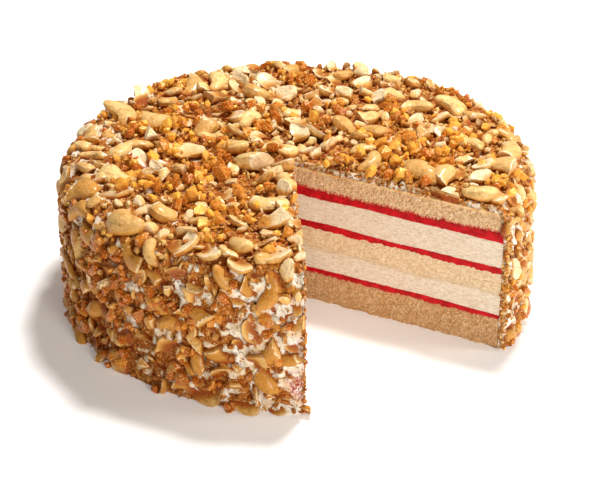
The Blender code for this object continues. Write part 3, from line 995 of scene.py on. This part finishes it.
def core_points(outer, angles, top_rows):
    """The cream's inner side, just outside the layers, for the same rows as its outer side."""
    inner = outer.copy()
    lift = LAYERS[-1][1] + CORE_GAP
    inner[:top_rows, :, 2] = lift
    count = len(outer) - top_rows
    corner = rim_point(angles, LAYERS[-1][2] + LAYER_REACH + CORE_SIDE_GAP)
    for row in range(top_rows):
        share = (row + 1) / top_rows
        inner[row, :, :2] = APEX + share * (corner - APEX)
    upper = np.linspace(lift, CORE_BEND, CORE_BEND_STOPS)
    lower = np.linspace(CORE_BEND, FLOOR_SKIN, count - CORE_BEND_STOPS + 1)[1:]
    levels = [0.0, *[row[1] for row in LAYERS]]
    radii = [FOOT_RADIUS, *[row[2] for row in LAYERS]]
    for number, height in enumerate(np.concatenate([upper, lower])):
        radius = np.interp(height, levels, radii) + LAYER_REACH + CORE_SIDE_GAP
        inner[top_rows + number, :, :2] = rim_point(angles, radius)
        inner[top_rows + number, :, 2] = height
    return inner


def border_walk(index, rows, columns):
    """Corners of one coarse cell of a grid, with the fine points between them along the grid's border."""
    (top, low), (left, right) = rows, columns
    last_row, last_column = index.shape[0] - 1, index.shape[1] - 1
    walk = []
    walk += index[top, left:right].tolist() if top == 0 else [index[top, left]]
    walk += index[top:low, right].tolist() if right == last_column else [index[top, right]]
    walk += index[low, right:left:-1].tolist() if low == last_row else [index[low, right]]
    walk += index[low:top:-1, left].tolist() if left == 0 else [index[low, left]]
    return [int(corner) for corner in walk]


def coarse_stops(count):
    """The first and last point of each coarse cell along one side of a grid."""
    stops = list(range(0, count - 1, INNER_STEP)) + [count - 1]
    return list(zip(stops[:-1], stops[1:]))


def without_spares(points, measures, faces):
    """Only the points that a face uses, with the faces numbered anew."""
    used = sorted({corner for face in faces for corner in face})
    place = {corner: number for number, corner in enumerate(used)}
    kept = {name: values[used] for name, values in measures.items()}
    return points[used], kept, [[place[corner] for corner in face] for face in faces]


def join_cream(outer, inner, finish):
    """One closed mesh: outer side, plain inner side, the foot between them and a section at each cut."""
    skin = Skin()
    out, inn = skin.add(outer), skin.add(inner)
    high, low = np.array([[*APEX, CREAM_TOP]]), np.array([[*APEX, LAYERS[-1][1] + CORE_GAP]])
    high_tip, low_tip = skin.add(high), skin.add(low)
    skin.sheet(out)
    for rows in coarse_stops(inn.shape[0]):
        for columns in coarse_stops(inn.shape[1]):
            skin.faces.append(border_walk(inn, rows, columns))
    skin.sheet(np.stack([out[-1], inn[-1]]))
    skin.fan(high_tip, out[0])
    skin.fan(low_tip, inn[0], flipped=True)
    rise = np.linspace(0.0, 1.0, CREAM_CUT_ROWS + 1)[1:-1, None]
    tip_column = np.hstack([low_tip, skin.add(low + rise * (high - low)), high_tip])
    for side, column in (("right", 0), ("left", -1)):
        core, face = inner[:, column, None], outer[:, column, None]
        place = core + rise * (face - core)
        push = rolling(place, *SECTION_WAVES) - SECTION_SINK
        between = skin.add(place + push[..., None] * cut_normal(side))
        grid = np.vstack([tip_column, np.column_stack([inn[:, column], between, out[:, column]])])
        skin.sheet(grid, flipped=side == "left")
        skin.face(grid[-1], flipped=side == "right")
    points = skin.points()
    section = smooth(gap_distance(points), *SECTION_BAND)
    bare = np.maximum(bareness(points), section * (0.80 + 0.45 * lumps(points, 4.0, 53)))
    measures = {"bare": bare, "jam_smear": smear_share(points)}
    points, measures, faces = without_spares(points, measures, skin.faces)
    made = make_piece("cream", points, faces, finish, measures)
    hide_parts("nut_coat")
    return made


JAM_SMEAR = np.array((2.5, -96.0, 13.0))
FAINT_SMEAR = np.array((2.5, -96.0, 30.0))


def smear_share(place):
    """Jam that the knife smeared low on the front beside the left cut."""
    low = np.linalg.norm(place - JAM_SMEAR, axis=-1)
    high = np.linalg.norm(place - FAINT_SMEAR, axis=-1)
    return np.maximum(smooth(low, 12.0, 2.0), 0.5 * smooth(high, 9.0, 1.0))


def cashew(draw, lean, azimuth, along, length, turn, kind):
    """Where a piece lies on the cream, its size and kind, and how it leans."""
    place, outward = cream_surface(azimuth, along)
    return {
        "place": place, "outward": outward, "azimuth": azimuth,
        "length": length, "turn": turn, "kind": kind,
        "tilt": math.radians(draw.uniform(-lean, lean)), "roll": math.radians(draw.uniform(-lean, lean)),
        "seed": draw.randrange(10000),
    }


def spread(pieces, draw, lean, band, side_share, edge_keep):
    """Add pieces of one size band where there is room between those already placed."""
    shortest, longest, wanted, spacing = band
    wanted += len(pieces)
    places = np.array([piece["place"] for piece in pieces])
    lengths = np.array([piece["length"] for piece in pieces])
    for _ in range(TRIES):
        if len(pieces) == wanted:
            break
        along = draw.uniform(0.0, sum(cream_spans()))
        azimuth = draw.uniform(RIGHT_CUT, LEFT_CUT)
        length = draw.uniform(shortest, longest)
        place, outward = cream_surface(azimuth, along)
        if draw.random() > math.hypot(place[0], place[1]) / CREAM_RADIUS:
            continue
        if outward[2] < WALL_BELOW and draw.random() > side_share:
            continue
        if gap_distance(place) < edge_keep * length or place[2] < FLOOR_KEEP:
            continue
        if np.any(np.linalg.norm(places - place, axis=1) < spacing * (length + lengths)):
            continue
        kind = draw.choices(list(KIND_SHARES), list(KIND_SHARES.values()))[0]
        pieces.append(cashew(draw, lean, azimuth, along, length, draw.uniform(0.0, math.tau), kind))
        places = np.append(places, [place], axis=0)
        lengths = np.append(lengths, length)


def choose_pieces():
    """Places and sizes of the large cashew pieces: the marked ones, then by size, spread over the cream."""
    draw = random.Random(SEED)
    pieces = []
    for azimuth, along, length, turn, kind in MARKED_PIECES:
        pieces.append(cashew(draw, TILT, math.radians(azimuth), along, length, math.radians(turn), kind))
    for band in PIECE_BANDS:
        spread(pieces, draw, TILT, (*band, PIECE_SPACING), SIDE_SHARE, EDGE_KEEP)
    return pieces


def small_pieces(large):
    """Smaller broken nuts between the large ones, except on smeared jam and in heaps of brittle."""
    draw = random.Random(SEED + 1)
    pieces = list(large)
    for *band, lift in SMALL_BANDS:
        start = len(pieces)
        spread(pieces, draw, SMALL_TILT, band, SMALL_SIDE_SHARE, SMALL_EDGE_KEEP)
        for piece in pieces[start:]:
            piece["lift"] = lift
    kept = []
    for piece in pieces[len(large):]:
        place, on_top = piece["place"], piece["outward"][2] > TOP_ABOVE
        hidden = on_top and amber_share(place) > HEAP_SHARE and piece["length"] > HEAP_LONGEST
        if smear_share(place) < MOST_SMEAR and not hidden:
            kept.append(piece)
    return kept


def tube_faces(rings, around):
    """Faces of a body of rings that is closed at both tips: the tips are its first and last points."""
    faces = []
    last = 1 + rings * around
    for side in range(around):
        after = (side + 1) % around
        faces.append([0, 1 + after, 1 + side])
        for ring in range(rings - 1):
            here = 1 + ring * around
            faces.append([here + side, here + after, here + around + after, here + around + side])
        end = 1 + (rings - 1) * around
        faces.append([last, end + side, end + after])
    return faces


# Rings and points round each ring for cashew pieces longer than this
NUT_GRAIN = ((10.9, 16, 18), (8.4, 11, 13), (0.0, 8, 10))

# How many breaks a piece of each kind has, and below which length it has one more
BREAKS = {"curved": (0, 2), "split": (0, 2), "chunk": (3, 5)}
BROKEN_BELOW = 10.5

# Widths, thicknesses and bends as shares of half a piece's length, and how uneven it is
NUT_WIDTH, NUT_THICKNESS, NUT_BEND = (0.48, 0.62), (0.36, 0.46), (0.50, 0.85)
CHUNK_LENGTH, CHUNK_WIDTH, CHUNK_THICKNESS = 0.86, (0.62, 0.82), (0.40, 0.54)
FAT_END = (-0.22, 0.22)
GROOVE_DEPTH = 0.08
GROOVE_WIDTH = 0.2
SPLIT_LEVEL = 0.30
BREAK_DEPTH = (0.30, 0.72)
NUT_CREASE = 34.0

# How dark pieces are: a random roast; painted shade on the wall, less on its right where light falls;
# painted shade under each piece and on faces turned from the light
TONE_SPREAD = 0.62
WALL_SHADE = 1.05
RIGHT_LESS_SHADE = 0.75
LESS_SHADE_BAND = (20.0, 85.0)
UNDERSIDE_SHADE_BAND = (0.62, -0.45)
AWAY_FROM_LIGHT_BAND = (0.72, -0.35)


def wall_shade(place, outward):
    """Painted shade on pieces on the wall, more as they face sideways: much on the left, little on the
    right where light falls.
    """
    return WALL_SHADE * (1.0 - outward[..., 2]) * (1.0 - RIGHT_LESS_SHADE * smooth(place[..., 0], *LESS_SHADE_BAND))


def bent_nut(half, wide, thick, bend, fat_end, rings, around):
    """A plump tube along X, bent in its middle, fatter at one end and grooved along its outer bend."""
    t = -np.cos(math.pi * (np.arange(rings) + 0.8) / (rings + 0.6))
    share = (1.0 - np.abs(t) ** 3.0) ** 0.48 * (1.0 + fat_end * t)
    turn = math.tau * np.arange(around) / around
    groove = 1.0 - GROOVE_DEPTH * np.exp(-(np.sin(turn) / GROOVE_WIDTH) ** 2)
    across = wide * share[:, None] * (np.cos(turn) * groove)[None]
    up = thick * share[:, None] * np.sin(turn)[None]
    slope = 2.0 * bend * t / half
    norm = np.sqrt(1.0 + slope ** 2)
    x = half * t[:, None] - across * (slope / norm)[:, None]
    y = (bend * (t ** 2 - 0.5))[:, None] + across / norm[:, None]
    body = np.stack([x, y, up], axis=-1).reshape(-1, 3)
    tips = np.array([[-half, 0.5 * bend, 0.0], [half, 0.5 * bend, 0.0]])
    return np.concatenate([tips[:1], body, tips[1:]])


def broken_off(body, pale, piece, draw, number, spot):
    """The body with one more end or corner broken away, and the break made pale."""
    if piece["kind"] == "chunk" or piece["length"] < BROKEN_BELOW:
        normal = np.array([draw.gauss(0.0, 1.0) for _ in range(3)])
    else:
        normal = np.array([draw.choice((-1.0, 1.0)), draw.uniform(-0.7, 0.7), draw.uniform(-0.5, 0.5)])
    normal /= np.linalg.norm(normal)
    side = body @ normal
    rough = 0.03 * piece["length"] * lumps(spot, 0.20 * piece["length"], 5 + number)
    over = side - side.max() * draw.uniform(*BREAK_DEPTH)
    cut = over > 0.0
    return body - np.where(cut, over + rough, 0.0)[:, None] * normal, np.where(cut, 1.0, pale)


def nut_body(piece, rings, around):
    """A cashew piece about its own middle, length along X and broad side facing Z, and its pale breaks."""
    draw = random.Random(piece["seed"])
    kind = piece["kind"]
    half = piece["length"] / 2
    wide = half * draw.uniform(*NUT_WIDTH)
    thick = half * draw.uniform(*NUT_THICKNESS)
    bend = half * draw.uniform(*NUT_BEND)
    if kind == "chunk":
        half *= CHUNK_LENGTH
        wide = half * draw.uniform(*CHUNK_WIDTH)
        thick = half * draw.uniform(*CHUNK_THICKNESS)
        bend = 0.0
    body = bent_nut(half, wide, thick, bend, draw.uniform(*FAT_END), rings, around)
    spot = body + draw.uniform(0.0, 500.0)
    swell = 0.11 * lumps(spot, 0.50 * piece["length"], 3) + 0.08 * lumps(spot, 0.22 * piece["length"], 4)
    body = body * (1.0 + swell[:, None])
    pale = np.zeros(len(body))
    if kind == "split":
        level = SPLIT_LEVEL * thick
        over = body[:, 2] > level
        reach = np.clip(np.hypot(body[:, 0] / half, (body[:, 1] + 0.2 * bend) / wide), 0.0, 1.0)
        dish = level * reach ** 2
        body[:, 2] = np.where(over, np.minimum(body[:, 2], dish), body[:, 2])
        pale = np.where(over, 1.0, pale)
    more = piece["length"] < BROKEN_BELOW
    least, most = BREAKS[kind]
    for number in range(draw.randint(least + more, most + more)):
        body, pale = broken_off(body, pale, piece, draw, number, spot)
    return body, pale, thick


def place_piece(body, piece, thick, extra_lift):
    """Press a piece into the cream where it belongs."""
    outward = Vector(piece["outward"])
    round_rim = Vector((-math.sin(piece["azimuth"]), math.cos(piece["azimuth"]), 0.0))
    upright = Matrix((round_rim, outward.cross(round_rim), outward)).transposed()
    lean = Matrix.Rotation(piece["turn"], 3, "Z") @ Matrix.Rotation(piece["tilt"], 3, "Y")
    turn = np.array(upright @ lean @ Matrix.Rotation(piece["roll"], 3, "X"))
    lift = (SIDE_LIFT + (TOP_LIFT - SIDE_LIFT) * outward.z + extra_lift) * thick
    placed = piece["place"] + piece["outward"] * lift + body @ turn.T
    if "lift" in piece:
        return trimmed(pressed_in(placed, piece["place"], piece["outward"]), OVERHANG)
    placed[:, 2] -= max(0.0, placed[:, 2].max() - HIGHEST)
    out = max(0.0, np.hypot(placed[:, 0], placed[:, 1]).max() - WIDEST)
    placed -= out * np.array((math.cos(piece["azimuth"]), math.sin(piece["azimuth"]), 0.0))
    return trimmed(placed, OVERHANG)


def make_nuts(large, small, finish):
    """Every cashew piece, one mesh for each kind."""
    tones = random.Random(SEED + 2)
    for kind in KIND_SHARES:
        skin, sky = Skin(pale=0.0, tone=0.0, under=0.0), []
        for piece in large + small:
            if piece["kind"] != kind:
                continue
            rings, around = next(grain[1:] for grain in NUT_GRAIN if piece["length"] > grain[0])
            body, pale, thick = nut_body(piece, rings, around)
            placed = place_piece(body, piece, thick, piece.get("lift", 0.0) * tones.random())
            height = (placed - placed.mean(axis=0)) @ piece["outward"] / thick
            # a random roast plus painted shade on the wall
            tone = TONE_SPREAD * tones.random() + wall_shade(piece["place"], piece["outward"])
            # painted shade on the lower side of each piece, by its height along the outward direction
            numbers = skin.add(placed, pale=pale, tone=tone, under=smooth(height, *UNDERSIDE_SHADE_BAND))
            skin.faces += [[int(numbers[corner]) for corner in face] for face in tube_faces(rings, around)]
            # the direction light comes from, for painted shade on faces turned from it
            lit_from = piece["outward"] + np.array((0.0, 0.0, 1.0))
            sky.append(np.broadcast_to(lit_from / np.linalg.norm(lit_from), body.shape))
        # painted shade deep among the pieces
        sunk = sunk_share(skin.points())
        made = skin.finished(f"cashews_{kind}", finish, "nut_coat", crease=NUT_CREASE, sunk=sunk)
        faced = np.empty((skin.count, 3), np.float32)
        made.data.vertex_normals.foreach_get("vector", faced.ravel())
        hold(made.data, "away_from_light_shade", smooth(np.sum(faced * np.concatenate(sky), axis=1), *AWAY_FROM_LIGHT_BAND))


def twenty_sided():
    """An icosahedron of radius 1."""
    golden = (1.0 + 5.0 ** 0.5) / 2.0
    corners = [(x, y, 0.0) for x in (-1.0, 1.0) for y in (-golden, golden)]
    points = corners + [(0.0, x, y) for x, y, _ in corners] + [(y, 0.0, x) for x, y, _ in corners]
    points = np.array([Vector(point).normalized() for point in points])
    side = 1.05 * np.linalg.norm(points[1:] - points[0], axis=1).min()
    faces = []
    for trio in itertools.combinations(range(len(points)), 3):
        a, b, c = points[list(trio)]
        if max(np.linalg.norm(a - b), np.linalg.norm(b - c), np.linalg.norm(c - a)) < side:
            outward = np.dot(a, np.cross(b, c)) > 0.0
            faces.append(trio if outward else (trio[0], trio[2], trio[1]))
    return points, np.array(faces)


def rounder(points, faces):
    """The same form with each face split in four and all points at radius 1."""
    points = points.tolist()
    halves = {}
    split = []
    for face in faces.tolist():
        middles = []
        for pair in zip(face, face[1:] + face[:1]):
            key = tuple(sorted(pair))
            if key not in halves:
                halves[key] = len(points)
                middle = Vector(points[pair[0]]) + Vector(points[pair[1]])
                points.append(middle.normalized()[:])
            middles.append(halves[key])
        (a, b, c), (ab, bc, ca) = face, middles
        split += [(a, ab, ca), (ab, b, bc), (ca, bc, c), (ab, bc, ca)]
    return np.array(points), np.array(split)


def eight_sided():
    """An octahedron of radius 1."""
    points = np.concatenate([np.eye(3), -np.eye(3)])
    faces = [(0, 1, 2), (1, 3, 2), (3, 4, 2), (4, 0, 2), (1, 0, 5), (3, 1, 5), (4, 3, 5), (0, 4, 5)]
    return points, np.array(faces)


# How small bits differ: above 1 gives more small ones, and the others are shares of a bit's radius
SMALL_ONES_COMMON = 1.4
BIT_STRETCH = (0.50, 1.0)
BIT_DENTS = (0.62, 1.15)
CHIP_DEPTH = (0.30, 0.62)


def random_turns(numbers, count):
    """Evenly random rotations."""
    quaternion = numbers.normal(size=(count, 4))
    w, x, y, z = (quaternion / np.linalg.norm(quaternion, axis=1)[:, None]).T
    return np.stack([
        np.stack([1 - 2 * (y * y + z * z), 2 * (x * y - z * w), 2 * (x * z + y * w)], axis=-1),
        np.stack([2 * (x * y + z * w), 1 - 2 * (x * x + z * z), 2 * (y * z - x * w)], axis=-1),
        np.stack([2 * (x * z - y * w), 2 * (y * z + x * w), 1 - 2 * (x * x + y * y)], axis=-1),
    ], axis=1)


def strewn(numbers, count, share):
    """Places for small bits, even over the cream's area and kept with the share that a rule gives."""
    places, outwards = [], []
    found = 0
    while found < count:
        along = numbers.uniform(0.0, sum(cream_spans()), 4 * count)
        azimuth = numbers.uniform(0.0, math.tau, 4 * count)
        place, outward = cream_shape(azimuth, along)
        keep = numbers.uniform(size=4 * count) < from_axis(place) / CREAM_RADIUS
        keep &= gap_distance(place) > 0.2
        place, outward = place[keep], outward[keep]
        keep = numbers.uniform(size=len(place)) < share(place)
        places.append(place[keep])
        outwards.append(outward[keep])
        found += int(keep.sum())
    place, outward = np.concatenate(places)[:count], np.concatenate(outwards)[:count]
    return place + outward * cream_wave(place)[:, None], outward


def along_cuts(numbers, count, on_wall):
    """Places for small bits on the cream's section at both cuts, this share of them on the wall."""
    right = numbers.uniform(size=count) < 0.5
    angle = np.where(right, RIGHT_CUT, LEFT_CUT)
    normal = np.where(right[:, None], cut_normal("right"), cut_normal("left"))
    reach = numbers.uniform(0.0, CREAM_RADIUS, count)[:, None]
    level = APEX + reach * np.stack([np.cos(angle), np.sin(angle)], axis=-1)
    top = np.column_stack([level, numbers.uniform(LAYERS[-1][1] + 0.2, CREAM_TOP + 0.8, count)])
    rim = rim_point(angle, numbers.uniform(CREAM_RADIUS - 1.0, CREAM_RADIUS + 1.6, count))
    wall = np.column_stack([rim, numbers.uniform(1.0, CREAM_TOP - 3.0, count)])
    place = np.where((numbers.uniform(size=count) < on_wall)[:, None], wall, top)
    over_rim = from_axis(place) > CREAM_RADIUS + 1.0
    place[over_rim] = wall[over_rim]
    return place, normal


def make_bits(name, finish, seed, where, count, rule, sizes, lift, chips, form, crease=None):
    """Many small bits in one mesh: a form stretched, dented and chipped flat, at the places of a rule."""
    numbers = np.random.default_rng(seed)
    place, outward = where(numbers, count, rule)
    ball, pattern = form
    size = sizes[0] * (sizes[1] / sizes[0]) ** (numbers.uniform(size=count) ** SMALL_ONES_COMMON)
    bits = ball[None] * numbers.uniform(*BIT_STRETCH, (count, 1, 3))
    bits = bits * numbers.uniform(*BIT_DENTS, (count, len(ball), 1))
    for _ in range(chips):
        normal = numbers.normal(size=(count, 3))
        normal /= np.linalg.norm(normal, axis=1)[:, None]
        over = np.einsum("nvk,nk->nv", bits, normal) - numbers.uniform(*CHIP_DEPTH, (count, 1))
        bits = bits - np.maximum(over, 0.0)[..., None] * normal[:, None]
    bits = np.einsum("nij,nvj->nvi", random_turns(numbers, count), bits) * (0.5 * size)[:, None, None]
    rise = lift[0] + (lift[1] - lift[0]) * numbers.uniform(size=count)
    points = (place + outward * rise[:, None])[:, None] + bits
    points = trimmed(pressed_in(points, place, outward), BIT_OVERHANG)
    faces = (pattern[None] + (len(ball) * np.arange(count))[:, None, None]).reshape(-1, 3)
    tone = np.repeat(numbers.uniform(size=count), len(ball))
    # a random roast plus painted shade on the wall
    roast_and_wall_shade = tone + 0.5 * np.repeat(wall_shade(place, outward), len(ball))
    measures = {"tone": roast_and_wall_shade, "bare": 0.45 + 0.45 * tone}
    return make_piece(name, points.reshape(-1, 3), faces.tolist(), finish, measures, crease)


def heaped(place):
    """The share of places with brittle: nearly all in its heaps, few elsewhere and fewer on bare cream."""
    return (0.03 + 0.97 * amber_share(place)) * (1.0 - 0.6 * bareness(place))


def dusted(place):
    """The share of places with chopped nut: most, but few on smeared jam."""
    return (1.0 - 0.15 * bareness(place)) * (1.0 - 0.75 * smear_share(place))


def make_all_bits(brittle, crumb, cream):
    """Brittle from shards to grains, chopped nut, and flecks of cream."""
    lump, speck = twenty_sided(), eight_sided()
    ball = rounder(*lump)
    rows = (
        # name, finish, seed, where, how many, rule, sizes, lift over the cream, chips, form, crease
        ("brittle_shards", brittle, 61, strewn, 1250, heaped, (4.6, 11.0), (0.6, 4.4), 3, lump, 4.0),
        ("brittle_grains", brittle, 62, strewn, 2600, heaped, (1.1, 3.0), (0.0, 3.2), 0, speck, 4.0),
        ("nut_crumbs", crumb, 63, strewn, 3400, dusted, (1.8, 5.4), (-0.6, 1.8), 3, lump, 12.0),
        ("nut_dust", crumb, 64, strewn, 4500, dusted, (0.8, 2.0), (-0.1, 1.0), 0, speck, 8.0),
        ("cream_flecks", cream, 65, along_cuts, 170, 0.35, (0.8, 3.0), (-0.6, 0.3), 0, ball),
        ("cut_crumbs", crumb, 66, along_cuts, 560, 0.60, (0.9, 2.4), (-0.4, 0.5), 3, lump, 12.0),
        ("cut_brittle", brittle, 67, along_cuts, 200, 0.60, (1.4, 3.0), (-0.5, 0.5), 4, lump, 8.0),
    )
    for row in rows:
        make_bits(*row)


def add_light(name, energy, size, place, target, tint):
    """A soft round light that faces its target."""
    light = bpy.data.lights.new(name, "AREA")
    light.energy = energy
    light.shape = "DISK"
    light.size = size
    light.color = tint
    made = bpy.data.objects.new(name, light)
    made.location = place
    made.rotation_mode = "QUATERNION"
    made.rotation_quaternion = (Vector(target) - Vector(place)).to_track_quat("-Z", "Y")
    bpy.context.scene.collection.objects.link(made)


def make_stage(finish):
    """A pale floor, soft light from above and a camera at the photograph's angle."""
    mesh = bpy.data.meshes.new("floor")
    corners = [(x * FLOOR_REACH, y * FLOOR_REACH, 0.0) for x, y in ((-1, -1), (1, -1), (1, 1), (-1, 1))]
    mesh.from_pydata(corners, [], [(0, 1, 2, 3)])
    mesh.materials.append(finish)
    floor = bpy.data.objects.new("floor", mesh)
    bpy.context.scene.collection.objects.link(floor)
    world = bpy.data.worlds.new("studio")
    world.use_nodes = True
    world.node_tree.nodes["Background"].inputs["Color"].default_value = ROOM_TINT
    world.node_tree.nodes["Background"].inputs["Strength"].default_value = ROOM_LIGHT
    bpy.context.scene.world = world
    bpy.context.scene.view_settings.view_transform = "Standard"
    for row in LIGHTS:
        add_light(*row)
    camera = bpy.data.cameras.new("camera")
    camera.sensor_width = SENSOR_WIDTH
    camera.lens = FOCAL_PIXELS / IMAGE_WIDTH * SENSOR_WIDTH
    camera.clip_start = 0.01
    made = bpy.data.objects.new("camera", camera)
    back = Vector((0.0, -math.cos(CAMERA_RISE), math.sin(CAMERA_RISE)))
    made.location = LOOK_AT + CAMERA_DISTANCE * back
    made.rotation_mode = "QUATERNION"
    made.rotation_quaternion = (-back).to_track_quat("-Z", "Y")
    bpy.context.scene.collection.objects.link(made)
    bpy.context.scene.camera = made


def make_layers():
    """The nine layers with their finishes, from the foot up."""
    ice, ice_light = colour(208, 182, 152), colour(235, 223, 204)
    loose, loose_light = colour(206, 170, 124), colour(234, 212, 178)
    brown = colour(210, 166, 116), colour(236, 206, 166), colour(170, 118, 66)
    tan = colour(228, 192, 148), colour(246, 224, 190), colour(194, 148, 96)
    foot_sponge = sponge_finish("sponge_dark", *brown, jam_reach=0.5)
    top_sponge = sponge_finish("sponge_tan", *tan, jam_reach=1.0)
    cream_ice = blended_finish("ice_cream", ice, ice_light, loose, 0.10)
    pale = blended_finish("sponge_pale", loose, loose_light, ice, 0.55)
    jam = jam_finish()
    rules = {
        "sponge_bottom": (foot_sponge, "sponge_dark", sponge_relief),
        "ice_cream_lower": (cream_ice, "ice_cream", ice_relief),
        "sponge_middle": (pale, "sponge_pale", sponge_relief),
        "ice_cream_upper": (cream_ice, "ice_cream", ice_relief),
        "sponge_top": (top_sponge, "sponge_tan", sponge_relief),
        "caramel": (caramel_finish(), "caramel", jam_relief),
    }
    for number, name in enumerate(NAMES):
        make_layer(number, *rules.get(name, (jam, "jam", jam_relief)))


def main():
    """The stage, and the cake from its layers outward."""
    make_stage(floor_finish())
    make_layers()
    cream = cream_finish()
    make_cream(cream)
    large = choose_pieces()
    make_nuts(large, small_pieces(large), nut_finish())
    make_all_bits(brittle_finish(), crumb_finish(), cream)


main()
